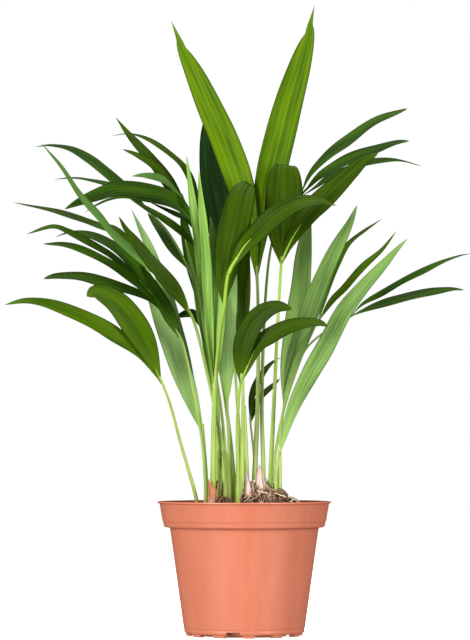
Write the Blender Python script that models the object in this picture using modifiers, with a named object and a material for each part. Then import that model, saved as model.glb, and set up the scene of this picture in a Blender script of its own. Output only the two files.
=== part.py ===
"""Young areca palm seedlings in a round plastic nursery pot.

Units are metres in the scene; every driving dimension below is in millimetres.
The pot's axis is Z, its flat underside stands on z = 0, and the front is -Y.
"""

import math
from collections import namedtuple

import bmesh
import bpy
from mathutils import Vector

MM = 0.001
GAP = 0.3                      # air left between pieces that touch

# ---- pot ----
POT_STEPS = 40
POT_TURNED = [                 # radius, height: up the inside, over the lip, down the outside
    (0.0, 3.4), (40.4, 3.4), (41.3, 4.6), (51.4, 77.2), (55.6, 78.2), (58.7, 93.2), (59.3, 95.0),
    (61.4, 95.0), (61.4, 93.8), (60.0, 93.4), (58.0, 81.2), (57.5, 80.6), (57.0, 77.6),
    (56.2, 76.8), (53.0, 76.4), (52.6, 75.6), (43.0, 6.0), (42.6, 5.4), (42.6, 3.4),
    (42.0, 2.1), (31.0, 2.1), (29.8, 0.0), (0.0, 0.0),
]
FOOT_COUNT = 12
FOOT_FIRST = 4.5               # degrees from the front, toward +X
FOOT_SIZE = (9.5, 5.0, 2.7)    # along the rim, across it, high
FOOT_RADIUS = 38.9
SLOT_COUNT = 4
SLOT_FIRST = -10.8             # degrees from the front, toward +X
SLOT_SIZE = (10.0, 9.0, 2.6)
SLOT_RADIUS = 39.5
SLOT_BOTTOM = 1.5

# ---- potting mix and roots ----
MIX_TURNED = [                 # radius, height: down the outside, across the underside
    (0.0, 88.6), (22.0, 88.2), (40.0, 87.2), (57.0, 86.6), (55.2, 78.5), (51.0, 77.6),
    (41.0, 5.0), (40.0, 3.7), (0.0, 3.7),
]
MIX_STEPS = 32
CROWN_CENTRE = (14.0, 0.0, 90.0)
CROWN_RADII = (17.5, 16.0, 19.0)
CROWN_FLOOR = 88.9
CROWN_LUMPS = [(24.5, -8.0, 94.0, 9.0), (7.0, -10.0, 97.0, 7.0)]
LUMP_CENTRE = (-14.0, -19.5, 93.4)
LUMP_RADII = (5.6, 4.6, 6.2)

Blade = namedtuple("Blade", "points width peak blunt turn fold")
Leaf = namedtuple("Leaf", "name finish radius stalk blades")


def blade(points, width, peak=0.45, blunt=0.8, turn=(0.0, 0.0), fold=0.10):
    """A leaflet: midrib points, greatest width, where it is widest, tip form, twist, V fold."""
    return Blade(points, width, peak, blunt, turn, fold)


# Every leaf: name, finish, stalk radius at the foot and the end, stalk points, blades.
LEAVES = [
    Leaf("leaf_tall", "leaf_young", (2.3, 1.3),
         [(7, 4, 82), (7.3, 4, 112), (9.5, 6, 166), (10, 7, 220), (9, 8, 262)],
         [blade([(9, 8, 250), (5.5, 8, 281), (-3, 8, 320), (-13.5, 9, 350), (-24, 9, 374),
                 (-35, 10, 399), (-45, 11, 420), (-52, 12, 437)], 19.0, 0.48, 1.05),
          blade([(9, 8, 250), (12, 9, 290), (18.5, 11, 325), (26, 11, 357), (32.5, 11, 382),
                 (39, 10, 404), (45, 11, 426), (50, 12, 448)], 21.0, 0.50, 0.95)]),
    Leaf("leaf_shaded", "leaf_dark", (1.7, 1.1),
         [(-2, 10, 82), (-2.5, 11, 120), (-6, 16, 180), (-10, 19, 228)],
         [blade([(-10, 19, 225), (-14, 22, 275), (-20, 25, 312), (-25, 28, 345), (-27, 30, 369)],
                20.0, 0.55, 0.5, (15, 15)),
          blade([(-10, 19, 225), (-7, 28, 258), (-4, 38, 282), (-1, 49, 295), (2, 60, 298)],
                14.0, 0.5, 0.7, (0, 50))]),
    Leaf("leaf_centre", "leaf_mature", (2.5, 1.3),
         [(-22, -14, 82), (-22, -15, 112), (-21, -18, 167), (-17.5, -22, 210),
          (-14.5, -24, 230), (-12, -25, 255), (-5, -27, 273)],
         [blade([(-14.5, -24, 232), (-13.5, -26, 252), (-11, -28, 270), (-8, -28, 287),
                 (-5, -26, 302), (-2.5, -21, 313), (0, -13, 318), (2, -5, 312)],
                23.0, 0.48, 0.42),
          blade([(-7, -26, 268), (1, -29, 275), (11, -32, 285), (23, -34, 296), (36, -36, 303),
                 (50, -37, 305.5), (64, -38, 302)],
                17.0, 0.45, 0.9, (15, 45))]),
    Leaf("leaf_narrow", "leaf_pale", (1.8, 1.3),
         [(-19, -3, 82), (-19, -3, 120), (-21, -5, 150), (-22, -8, 178)],
         [blade([(-22, -7.6, 172), (-23, -11, 195), (-24.5, -13, 218), (-25.5, -15, 240),
                 (-26.5, -17, 262), (-28, -18, 284), (-30.5, -18, 307), (-32, -18, 328)], 9.5,
                0.5, 0.7, (30, 35)),
          blade([(-22, -7.6, 172), (-25.5, -9, 205), (-28, -9, 232), (-30.5, -9, 258),
                 (-33.5, -8, 284), (-37, -8, 309), (-39.5, -8, 328), (-41, -8, 340)], 8.5, 0.55,
                0.7, (-30, -35)),
          blade([(-22, -7.6, 172), (-20, -12, 205), (-19, -13, 232), (-20, -12, 258),
                 (-22, -11, 280), (-24, -10, 296)],
                12.0, turn=(25, 25)),
          blade([(-22, -7.6, 172), (-29, -5, 215), (-35, -4, 250), (-42, -3, 281)],
                8.0, turn=(-45, -45))]),
    Leaf("leaf_right", "leaf_mature", (2.0, 1.2),
         [(18.5, -3, 82), (18.5, -4, 112), (20, -5, 145), (22, -6, 188), (23.5, -7, 220),
          (25.5, -8, 255), (26.5, -9, 268)],
         [blade([(26, -8.6, 262), (27, -9, 284), (28, -9, 303), (28.5, -7, 320), (29, -2, 332),
                 (29.5, 5, 329)], 27.0, 0.50, 0.35),
          blade([(26, -8.6, 264), (34, -11, 281), (45, -12, 297), (57, -13, 309),
                 (68, -14, 319.5), (77, -14, 328), (85, -15, 335.5), (94, -16, 340)],
                18.0, 0.42, 0.9, (20, 45))]),
    Leaf("frond_right_upper", "leaf_dark", (1.9, 0.9),
         [(13.5, 7, 82), (13.5, 7, 120), (12.5, 9, 167), (15, 11, 238), (20, 13, 280),
          (30, 16, 300), (42, 19, 315), (48, 21, 321)],
         [blade([(40, 18, 313), (47, 22, 328), (58, 26, 340), (73, 32, 352), (87, 37, 363),
                 (99, 42, 370), (118, 50, 378)],
                11.0, 0.40, 0.45, (30, 45)),
          blade([(40, 18, 312), (53, 17, 326), (64, 18, 333), (77, 19, 339.5), (93, 20, 345.5),
                 (108, 20, 350.5), (118, 20, 352)],
                11.5, 0.45, 0.6, (35, 50)),
          blade([(39, 18, 311), (51, 25, 319), (62, 31, 327), (73, 37, 332), (89, 45, 338),
                 (109, 53, 341), (129, 60, 337)],
                9.5, 0.4, 0.8, (50, 62)),
          blade([(34, 17, 305), (44, 27, 310), (60, 40, 316)],
                8.0, turn=(50, 50))]),
    Leaf("leaf_right_upright", "leaf_pale", (1.6, 1.1),
         [(24.5, 6, 82), (24.5, 6, 112), (26, 4, 140), (28.5, 3, 166)],
         [blade([(28, 3.2, 158), (32, 2, 185), (38.5, 1, 208), (46, 0, 229), (53.5, -1, 249),
                 (60.5, -1, 265), (68, 0, 280), (75, 1, 293), (80, 2, 305)],
                15.0, 0.48, 0.7, (-25, -25)),
          blade([(28, 3.2, 160), (31, 8, 192), (36.5, 11, 222), (40.5, 12, 247), (42.5, 12, 270),
                 (44.5, 12, 288), (47, 12, 303)],
                16.5, 0.5, 0.6, (28, 28))]),
    Leaf("frond_right_slim", "leaf_mature", (1.4, 0.8),
         [(20.5, 13, 82), (20.5, 13, 115), (27, 12, 155), (38, 12, 190), (49, 13, 216),
          (56, 14, 229)],
         [blade([(53, 13.5, 223), (63, 16, 238), (72, 18, 247), (86, 22, 263), (99, 26, 275),
                 (109, 30, 288)],
                9.0, 0.4, 0.8, (58, 65)),
          blade([(53, 13.5, 224), (60, 18, 247), (66, 22, 264), (74, 28, 278), (87, 36, 289),
                 (99.5, 44, 298)],
                9.0, 0.45, 0.8, (55, 62)),
          blade([(46, 12.6, 209), (52, 22, 232), (60, 36, 252), (66, 54, 262)],
                9.0, turn=(50, 50))]),
    Leaf("leaf_right_broad", "leaf_pale", (1.7, 1.3),
         [(22.5, -9.5, 82), (22.5, -9.5, 112), (25, -11, 134)],
         [blade([(24.6, -11, 128), (34, -16, 160), (46, -22, 184.5), (57, -28, 204),
                 (69.5, -34, 228), (81, -39, 243), (94.5, -44, 258), (107, -49, 272),
                 (113, -53, 278)],
                13.4, 0.45, 0.75, (5, 25))]),
    Leaf("frond_right_low", "leaf_dark", (1.3, 0.9),
         [(25.5, -1.5, 82), (25.5, -1.5, 112), (26, -2, 150), (33.5, -3, 180), (43, -5, 202),
          (57, -7, 215), (70, -9, 223), (78, -10, 227)],
         [blade([(75, -9.7, 225.5), (83.5, -12, 234), (96, -15, 241), (110, -19, 249),
                 (124, -22, 256), (138, -25, 263), (151, -27, 267.5), (158.5, -28, 269)],
                9.0, turn=(58, 66)),
          blade([(75, -9.7, 225.5), (84, -7, 229.5), (104, -3, 236.5), (126.5, 2, 242),
                 (146, 6, 245.5), (156.5, 8, 245)],
                10.0, 0.5, 0.6, (45, 50))]),
    Leaf("leaf_front_small", "leaf_mature", (2.0, 1.2),
         [(-4.5, -19, 82), (-4.5, -20, 112), (-5, -25, 146), (-4, -31, 167), (-2, -36, 185)],
         [blade([(-3, -35, 178), (-1.5, -38, 200), (3, -41, 214), (11, -44, 225.5),
                 (22, -47, 231), (33, -50, 229.5)],
                15.5, 0.45, 0.6, (0, 30)),
          blade([(-3, -35, 178), (8, -39, 202.5), (18.5, -42, 211), (30.5, -45, 217),
                 (42, -48, 219.5), (52.5, -51, 219.5), (57.5, -53, 217)],
                13.0, 0.5, 0.6, (20, 50))]),
    Leaf("leaf_back_small", "leaf_dark", (1.3, 0.9),
         [(8, 17, 82), (8, 17, 115), (4, 22, 155)],
         [blade([(4.4, 21.6, 150), (6, 24, 170), (12.5, 28, 185), (20, 34, 194), (27, 42, 198)],
                9.0, turn=(40, 40)),
          blade([(4.4, 21.6, 150), (9, 27, 165), (17, 36, 174), (26, 48, 183)],
                8.0, turn=(40, 40))]),
    Leaf("leaf_inner_pale", "leaf_pale", (1.9, 1.3),
         [(-10, 3, 82), (-10, 3, 112), (-12, 0, 160), (-12.2, -1.5, 172)],
         [blade([(-12, -0.5, 164), (-12, -6, 195), (-11, -10, 224), (-9, -13, 246),
                 (-6, -14, 268)],
                11.0, turn=(-35, -35))]),
    Leaf("leaf_inner_green", "leaf_mature", (2.2, 1.2),
         [(-1.5, -6, 82), (-1.5, -6, 115), (-1, -6, 170), (-2, -7, 208)],
         [blade([(-1.9, -6.8, 200), (-1.5, -10, 234), (0, -13, 262), (4, -15, 284)],
                11.0, turn=(30, 30)),
          blade([(-1.9, -6.8, 200), (-6, 0, 222), (-10, 6, 240)], 5.5)]),
    Leaf("frond_left_main", "leaf_mature", (2.1, 0.9),
         [(-13, -8, 82), (-13, -9, 112), (-16, -11, 136), (-22, -13.5, 167), (-34.5, -23, 219),
          (-45, -30, 237), (-59, -37, 254.5), (-80, -43, 274)],
         [blade([(-38, -25.5, 226), (-47, -34, 241), (-58, -42, 254), (-68, -46, 266),
                 (-80, -50, 280)],
                14.0, 0.4, 0.7, (-30, -30)),
          blade([(-50, -32.7, 243.6), (-66, -45, 259), (-90, -54, 281), (-100, -57, 293),
                 (-114, -60, 309), (-127, -63, 328), (-140.5, -66, 343.5)],
                10.0, 0.35, 0.8, (130, 130)),
          blade([(-62, -38, 257.6), (-78, -39, 274), (-90, -40, 284), (-100.5, -42, 287),
                 (-115, -45, 292.5), (-135, -50, 298), (-160, -56, 303)],
                9.0, 0.35, 0.8, (-52, -60)),
          blade([(-59, -37, 254.5), (-70, -35, 270), (-77, -34, 279), (-83, -33, 286),
                 (-88, -32, 295)],
                8.5, 0.4, 0.8, (-45, -45))]),
    Leaf("frond_left_lower", "leaf_dark", (1.6, 0.8),
         [(-27.5, -8, 82), (-27.5, -8, 112), (-31.5, -9, 150), (-42, -12, 202),
          (-49, -15, 217), (-60, -19, 234), (-74, -22, 251)],
         [blade([(-68, -20.8, 244), (-80, -25, 256), (-94, -29, 267.5), (-108, -34, 276),
                 (-122, -38, 283), (-134, -42, 287), (-151.5, -47, 281.5)],
                9.0, turn=(-55, -62)),
          blade([(-58, -18.4, 231), (-70, -19, 252), (-80, -18, 264), (-94, -15, 276),
                 (-109, -11, 283), (-123, -7, 285), (-134, -4, 282)],
                10.5, 0.35, 0.7, (-35, -45)),
          blade([(-57, -18.2, 229.6), (-70, -28, 243), (-83.5, -34, 254), (-97, -39, 263),
                 (-111, -43, 270), (-125, -47, 274), (-140, -52, 274.5)],
                9.0, 0.5, 0.6, (-50, -60)),
          blade([(-52, -16.2, 222), (-64, -17, 236), (-79, -17, 243), (-100, -16, 249.5),
                 (-116, -15, 253.5), (-132, -14, 254), (-141.5, -14, 252)],
                10.0, 0.60, 0.5, (-35, -45)),
          blade([(-46, -13.7, 211), (-56, -20, 232), (-66, -27, 250), (-74, -34, 262)],
                10.0, 0.35, 0.8, (-20, -20))]),
    Leaf("leaf_left_low", "leaf_young", (1.5, 1.1),
         [(-33.5, -5, 82), (-34, -6, 97), (-40.5, -10, 121), (-45.5, -14, 138.5),
          (-52, -18, 163), (-59.5, -22, 183)],
         [blade([(-58, -21, 178), (-73, -26, 199), (-94, -32, 214), (-114.5, -38, 225),
                 (-135, -45, 232.5), (-151.5, -52, 235), (-166, -59, 232)],
                12.8, 0.40, 0.8, (-25, -55)),
          blade([(-58, -21, 178), (-69.5, -27, 206), (-80.5, -31, 224), (-91, -35, 236),
                 (-103.5, -39, 242), (-110, -42, 238.5)],
                18.8, 0.46, 0.5, (0, -20))]),
    Leaf("leaf_left_broad", "leaf_pale", (1.7, 1.2),
         [(-27, 1, 82), (-27, 1, 112), (-29.5, 0, 150)],
         [blade([(-29, 0.2, 142), (-38.5, -1, 170.5), (-47, -2, 195), (-56, -3, 220),
                 (-65, -3, 245), (-73, -3, 262), (-79.5, -3, 276)],
                15.4, 0.42, 0.8, (180, 155)),
          blade([(-29, 0.2, 142), (-39, 5, 185), (-50, 9, 225), (-60, 13, 255), (-68, 15, 276),
                 (-74, 17, 289), (-80.5, 19, 303)],
                9.5, 0.6, 0.8, (200, 215))]),
    Leaf("frond_left_arching", "leaf_dark", (1.7, 1.0),
         [(-18, 9, 82), (-18, 9, 112), (-19, 8, 170), (-25, 6, 240), (-30, 5, 278),
          (-37, 3, 299)],
         [blade([(-35.6, 3.4, 295), (-43, 0, 305), (-54, -4, 311.5), (-73, -10, 314.5),
                 (-90, -15, 315), (-104, -20, 310.5), (-117.5, -25, 304.5), (-126, -28, 300)],
                14.0, 0.5, 0.7, (-30, -48)),
          blade([(-34.6, 3.6, 292), (-46, 10, 302), (-60, 14, 308), (-82, 19, 312),
                 (-96, 24, 310.5), (-107, 28, 306), (-115, 32, 301)],
                9.5, turn=(-45, -50)),
          blade([(-34.6, 3.6, 292), (-52, 7, 307), (-74, 10, 314), (-92, 12, 319),
                 (-109, 13, 323), (-121, 13, 325), (-135.5, 13, 324)],
                8.0, turn=(-50, -60)),
          blade([(-29, 5.2, 270), (-45, 2, 286), (-56, 0, 294), (-70, -2, 303), (-81, -4, 309)],
                8.0, turn=(-50, -50)),
          blade([(-30.5, 4.9, 280), (-39, 8, 294), (-49, 12, 299), (-67, 18, 308)],
                8.0, turn=(-50, -50))]),
    Leaf("frond_left_upper", "leaf_mature", (1.9, 0.9),
         [(-7, 17, 82), (-7.5, 17, 112), (-14, 19, 170), (-27, 23, 238), (-32, 25, 280),
          (-45, 29, 315)],
         [blade([(-37, 26.5, 293), (-54, 31, 322), (-68, 36, 341), (-82.5, 41, 357.5),
                 (-92.5, 45, 371)],
                10.5, 0.4, 0.8, (-25, -35)),
          blade([(-31.6, 24.8, 277), (-35, 26, 312), (-42, 26, 331), (-53, 29, 343),
                 (-67.5, 31, 353), (-82, 33, 358), (-95, 35, 357)],
                9.5, 0.5, 0.7, (-52, -62)),
          blade([(-40.6, 27.6, 303.5), (-61, 24, 331), (-75, 21, 341), (-87, 18, 346)],
                9.5, turn=(-40, -45)),
          blade([(-43.6, 28.5, 311), (-57, 18, 324), (-70, 13, 327), (-80, 9, 326)],
                8.5, turn=(130, 130))]),
    Leaf("frond_left_back", "leaf_dark", (1.4, 0.9),
         [(-12.5, 11.5, 82), (-12.5, 12, 112), (-17, 13, 165), (-28, 14, 218), (-38, 17, 256),
          (-53, 22, 285), (-68, 27, 302)],
         [blade([(-66, 26.3, 299.5), (-79, 30, 312), (-91, 33, 323), (-101, 36, 332),
                 (-111, 39, 340), (-125.5, 42, 348), (-140, 46, 351), (-151, 49, 350)],
                10.5, 0.4, 0.8, (-35, -50)),
          blade([(-32, 15.2, 233), (-37, 19, 262), (-42, 26, 287), (-45, 34, 308)],
                10.0, turn=(-20, -20)),
          blade([(-27, 13.8, 214), (-36, 13, 228), (-49, 11.5, 226)],
                7.5, 0.5, 0.6, (-35, -35)),
          blade([(-40, 17.7, 260), (-52, 28, 276), (-62, 40, 292), (-70, 54, 303)],
                9.0, turn=(-40, -40))]),
]

# name, stalk it wraps, finish, where it starts and ends on the stalk (mm up), outer radii
SHEATHS = [
    ("sheath_left", "leaf_centre", "sheath_brown", 86.0, 113.0, (4.1, 3.5)),
    ("sheath_middle", "frond_left_main", "sheath_green", 86.0, 137.0, (4.0, 3.0)),
]
# name, finish, foot, tip, radii: rolled pointed scales that stand in the roots
SCALES = [
    ("scale_right", "sheath_pink", (11.0, -7.5, 94.0), (10.5, -6.5, 120.0), (4.2, 0.7)),
    ("scale_left", "sheath_pink", (3.6, -13.6, 94.0), (0.8, -12.4, 116.0), (3.2, 0.7)),
]
# name, finish, foot, top, radii: stalks of old leaves cut off short
STUBS = [
    ("stub_middle", "leaf_pale", (2.6, 9.0, 82.0), (-0.5, 2.0, 163.0), (1.9, 1.6)),
]

FINISH = {                     # colour, roughness
    "pot_plastic": ((0.83, 0.30, 0.17), 0.38),
    "potting_mix": ((0.07, 0.04, 0.025), 0.95),
    "roots": ((0.35, 0.22, 0.12), 0.9),
    "sheath_brown": ((0.45, 0.30, 0.15), 0.8),
    "sheath_green": ((0.42, 0.52, 0.16), 0.6),
    "sheath_pink": ((0.60, 0.42, 0.32), 0.7),
    "leaf_young": ((0.13, 0.28, 0.01), 0.35),
    "leaf_mature": ((0.07, 0.17, 0.01), 0.35),
    "leaf_dark": ((0.03, 0.09, 0.008), 0.35),
    "leaf_pale": ((0.26, 0.42, 0.10), 0.45),
}
RING_COUNT = 9                 # cross-sections along a long blade
SHORT_RING_COUNT = 7           # along a blade shorter than SHORT_BLADE
SHORT_BLADE = 75.0
BLADE_THICKNESS = 1.0
STALK_SAMPLES = 9


def clear_scene():
    """Remove whatever the file opened with."""
    for item in list(bpy.data.objects):
        bpy.data.objects.remove(item, do_unlink=True)


def new_collection(name):
    """Add a collection to the scene."""
    made = bpy.data.collections.new(name)
    bpy.context.scene.collection.children.link(made)
    return made


def finish(name):
    """A Principled material for one finish."""
    colour, roughness = FINISH[name]
    made = bpy.data.materials.get(name)
    if made is None:
        made = bpy.data.materials.new(name)
        made.use_nodes = True
        shader = made.node_tree.nodes["Principled BSDF"]
        shader.inputs["Base Color"].default_value = (*colour, 1.0)
        shader.inputs["Roughness"].default_value = roughness
        shader.inputs["Metallic"].default_value = 0.0
        made.diffuse_color = (*colour, 1.0)
    return made


def add_mesh_object(name, mesh, collection, material=None):
    """Link a mesh as a named object."""
    made = bpy.data.objects.new(name, mesh)
    collection.objects.link(made)
    if material:
        mesh.materials.clear()
        mesh.materials.append(finish(material))
    return made


def from_bmesh(name, bm, collection, material=None):
    """Turn a bmesh into a named object."""
    bmesh.ops.recalc_face_normals(bm, faces=bm.faces)
    mesh = bpy.data.meshes.new(name)
    bm.to_mesh(mesh)
    bm.free()
    return add_mesh_object(name, mesh, collection, material)


def bake(obj):
    """Replace an object's mesh by what its modifiers make of it."""
    bpy.context.view_layer.update()
    graph = bpy.context.evaluated_depsgraph_get()
    mesh = bpy.data.meshes.new_from_object(obj.evaluated_get(graph))
    obj.modifiers.clear()
    obj.data = mesh
    return obj


def boolean(target, cutter, operation):
    """Join to or cut from a target with another object."""
    step = target.modifiers.new(operation.lower(), "BOOLEAN")
    step.operation = operation
    step.solver = "EXACT"
    step.use_self = operation == "UNION"
    step.object = cutter
    bake(target)
    hide_cutter(cutter)


def hide_cutter(cutter):
    """Keep a cutter out of the part."""
    cutter.hide_render = True
    cutter.display_type = "WIRE"


def turned(name, profile, steps, collection, material):
    """A turned solid: the profile is spun round Z by a Screw modifier."""
    bm = bmesh.new()
    ring = [bm.verts.new((r * MM, 0.0, z * MM)) for r, z in profile]
    for a, b in zip(ring, ring[1:]):
        bm.edges.new((a, b))
    mesh = bpy.data.meshes.new(name)
    bm.to_mesh(mesh)
    bm.free()
    made = add_mesh_object(name, mesh, collection, material)
    spin = made.modifiers.new("turn", "SCREW")
    spin.axis = "Z"
    spin.angle = math.tau
    spin.screw_offset = 0.0
    spin.steps = steps
    spin.render_steps = steps
    spin.use_merge_vertices = True
    spin.merge_threshold = 0.00001
    spin.use_normal_calculate = True
    return bake(made)


def box(name, size, radius, bottom, degrees, collection):
    """A box at a radius from the axis, turned to an angle from the front."""
    bm = bmesh.new()
    bmesh.ops.create_cube(bm, size=1.0)
    bmesh.ops.scale(bm, vec=Vector(size) * MM, verts=bm.verts)
    made = from_bmesh(name, bm, collection)
    angle = math.radians(degrees)
    middle = bottom + size[2] / 2
    made.location = Vector((math.sin(angle) * radius, -math.cos(angle) * radius, middle)) * MM
    made.rotation_euler = (0.0, 0.0, angle)
    return made


def spline(points, count):
    """Evenly spaced samples along a smooth curve through the points."""
    marks = [Vector(p) for p in points]
    ends = [2 * marks[0] - marks[1]] + marks + [2 * marks[-1] - marks[-2]]
    fine = []
    for i in range(1, len(ends) - 2):
        p0, p1, p2, p3 = ends[i - 1:i + 3]
        for k in range(12):
            t = k / 12
            fine.append(0.5 * (2 * p1 + (p2 - p0) * t + (2 * p0 - 5 * p1 + 4 * p2 - p3) * t * t
                               + (3 * p1 - p0 - 3 * p2 + p3) * t ** 3))
    fine.append(marks[-1])
    travelled = [0.0]
    for a, b in zip(fine, fine[1:]):
        travelled.append(travelled[-1] + (b - a).length)
    samples = []
    at = 0
    for i in range(count):
        want = travelled[-1] * i / (count - 1)
        while at < len(fine) - 2 and travelled[at + 1] < want:
            at += 1
        step = travelled[at + 1] - travelled[at]
        samples.append(fine[at].lerp(fine[at + 1], (want - travelled[at]) / step))
    return samples, travelled[-1]


def tube(name, samples, radii, collection, material=None, resolution=1):
    """A closed tube along samples, its radius running from the first to the last."""
    curve = bpy.data.curves.new(name, "CURVE")
    curve.dimensions = "3D"
    curve.bevel_depth = MM
    curve.bevel_resolution = resolution
    curve.use_fill_caps = True
    line = curve.splines.new("POLY")
    line.points.add(len(samples) - 1)
    for i, p in enumerate(samples):
        line.points[i].co = (*(p * MM), 1.0)
        t = i / (len(samples) - 1)
        line.points[i].radius = radii[0] + (radii[1] - radii[0]) * t
    holder = bpy.data.objects.new(name + "_path", curve)
    bpy.context.scene.collection.objects.link(holder)
    bpy.context.view_layer.update()
    graph = bpy.context.evaluated_depsgraph_get()
    mesh = bpy.data.meshes.new_from_object(holder.evaluated_get(graph))
    bpy.data.objects.remove(holder, do_unlink=True)
    bm = bmesh.new()
    bm.from_mesh(mesh)
    bmesh.ops.remove_doubles(bm, verts=bm.verts, dist=0.00001)
    return from_bmesh(name, bm, collection, material)


def blade_width(t, shape):
    """Width at a fraction of the blade's length: widest at the peak, drawn out to the tip."""
    rise = shape.blunt * shape.peak / (1 - shape.peak)
    t = min(max(t, 0.0), 1.0)
    form = (max(t, 1e-6) / shape.peak) ** rise * (max(1 - t, 0.0) / (1 - shape.peak)) ** shape.blunt
    return shape.width * form


def blade_solid(name, shape, collection):
    """A thin leaflet: four-cornered sections lofted along its midrib."""
    samples, length = spline(shape.points, RING_COUNT)
    if length < SHORT_BLADE:
        samples, length = spline(shape.points, SHORT_RING_COUNT)
    count = len(samples)
    bm = bmesh.new()
    rings = []
    normal = Vector((0.0, -1.0, 0.0))
    for i, p in enumerate(samples):
        ahead = samples[min(i + 1, count - 1)] - samples[max(i - 1, 0)]
        ahead.normalize()
        normal = (normal - ahead * normal.dot(ahead)).normalized()
        across = ahead.cross(normal)
        t = i / (count - 1)
        roll = math.radians(shape.turn[0] + (shape.turn[1] - shape.turn[0]) * t)
        side = across * math.cos(roll) + normal * math.sin(roll)
        face = normal * math.cos(roll) - across * math.sin(roll)
        width = max(blade_width(t, shape), 1.6 if i == 0 else 0.6)
        thick = BLADE_THICKNESS * (1 - 0.5 * t)
        lift = width * shape.fold
        corners = [p - side * width / 2 + face * lift, p + face * thick / 2,
                   p + side * width / 2 + face * lift, p - face * thick / 2]
        rings.append([bm.verts.new(c * MM) for c in corners])
    for low, high in zip(rings, rings[1:]):
        for k in range(4):
            bm.faces.new((low[k], low[(k + 1) % 4], high[(k + 1) % 4], high[k]))
    bm.faces.new(rings[0][::-1])
    bm.faces.new(rings[-1])
    bmesh.ops.triangulate(bm, faces=bm.faces)
    return from_bmesh(name, bm, collection)


def shade(obj, degrees):
    """Smooth shading with sharp edges above an angle."""
    mesh = obj.data
    mesh.polygons.foreach_set("use_smooth", [True] * len(mesh.polygons))
    bm = bmesh.new()
    bm.from_mesh(mesh)
    for edge in bm.edges:
        edge.smooth = edge.calc_face_angle(math.pi) < math.radians(degrees)
    bm.to_mesh(mesh)
    bm.free()


def make_pot(parts, cutters):
    """The nursery pot with its feet and drain slots."""
    pot = turned("pot", POT_TURNED, POT_STEPS, parts, "pot_plastic")
    for i in range(FOOT_COUNT):
        foot = box(f"foot_{i}", FOOT_SIZE, FOOT_RADIUS, 0.0, FOOT_FIRST + i * 30.0, cutters)
        boolean(pot, foot, "UNION")
    for i in range(SLOT_COUNT):
        slot = box(f"slot_{i}", SLOT_SIZE, SLOT_RADIUS, SLOT_BOTTOM, SLOT_FIRST + i * 90.0,
                   cutters)
        boolean(pot, slot, "DIFFERENCE")
    shade(pot, 35)
    return pot


def ellipsoid(name, centre, radii, collection, material=None, cells=(14, 8)):
    """A scaled sphere."""
    bm = bmesh.new()
    bmesh.ops.create_uvsphere(bm, u_segments=cells[0], v_segments=cells[1], radius=1.0)
    bmesh.ops.scale(bm, vec=Vector(radii) * MM, verts=bm.verts)
    bmesh.ops.translate(bm, vec=Vector(centre) * MM, verts=bm.verts)
    return from_bmesh(name, bm, collection, material)


def make_roots(parts, cutters):
    """The raised crown of matted roots and the small root lump beside it."""
    crown = ellipsoid("root_crown", CROWN_CENTRE, CROWN_RADII, parts, "roots")
    for i, (x, y, z, r) in enumerate(CROWN_LUMPS):
        boolean(crown, ellipsoid(f"knob_{i}", (x, y, z), (r, r, r), cutters, cells=(10, 6)),
                "UNION")
    lump = ellipsoid("root_lump", LUMP_CENTRE, LUMP_RADII, parts, "roots", (10, 6))
    floor = box("floor_cut", (130, 130, 40), 0.0, CROWN_FLOOR - 40.0, 0.0, cutters)
    for piece in (crown, lump):
        boolean(piece, floor, "DIFFERENCE")
    return crown, lump


def make_leaf(leaf, parts, cutters):
    """One leaf: its stalk with every blade joined to it."""
    samples, _ = spline(leaf.stalk, STALK_SAMPLES)
    body = tube(leaf.name, samples, leaf.radius, parts, leaf.finish)
    for i, shape in enumerate(leaf.blades):
        boolean(body, blade_solid(f"{leaf.name}_blade_{i}", shape, cutters), "UNION")
    shade(body, 50)
    return samples


def socket_for(name, samples, radii, collection, resolution=1):
    """The same tube made fatter by a gap, and a little longer at its foot."""
    down = (samples[0] - samples[1]).normalized()
    longer = [samples[0] + down] + samples[1:]
    return tube(name + "_socket", longer, (radii[0] + GAP, radii[1] + GAP), collection,
                resolution=resolution)


def make_sheath(row, leaves, stalk_socket, parts, cutters):
    """A papery tube round the lower end of a stalk; gives back the socket it stands in."""
    name, leaf_name, material, low, high, radii = row
    samples, _ = spline(leaves[leaf_name].stalk, 60)
    span = [p for p in samples if low <= p.z <= high]
    picked = [span[0], span[len(span) // 2], span[-1]]
    sheath = tube(name, picked, radii, parts, material, 2)
    boolean(sheath, stalk_socket, "DIFFERENCE")
    shade(sheath, 50)
    return socket_for(name, picked, radii, cutters, 2)


def make_spike(row, parts, cutters):
    """A tapered piece between two points; gives back the socket it stands in."""
    name, material, foot, tip, radii = row
    ends = [Vector(foot), Vector(tip)]
    shade(tube(name, ends, radii, parts, material, 2), 50)
    return socket_for(name, ends, radii, cutters, 2)


def main():
    """Build the part."""
    clear_scene()
    parts = new_collection("potted_palm")
    cutters = new_collection("cutters")
    make_pot(parts, cutters)
    mix = turned("potting_mix", MIX_TURNED, MIX_STEPS, parts, "potting_mix")
    crown, lump = make_roots(parts, cutters)
    leaves = {leaf.name: leaf for leaf in LEAVES}
    sockets = {}
    for leaf in LEAVES:
        samples = make_leaf(leaf, parts, cutters)
        sockets[leaf.name] = socket_for(leaf.name, samples, leaf.radius, cutters)
    for row in SHEATHS:
        sockets[row[0]] = make_sheath(row, leaves, sockets[row[1]], parts, cutters)
    for row in SCALES + STUBS:
        sockets[row[0]] = make_spike(row, parts, cutters)
    for socket in sockets.values():
        for piece in (mix, crown, lump):
            boolean(piece, socket, "DIFFERENCE")
    for cutter in cutters.objects:
        hide_cutter(cutter)


main()
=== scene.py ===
"""A young palm in a moulded plastic pot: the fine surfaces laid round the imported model.

Sizes are millimetres unless a name says otherwise, measured from the pot's axis on the face
that it stands on. The front is -Y and up is +Z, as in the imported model.
"""

from __future__ import annotations

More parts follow.
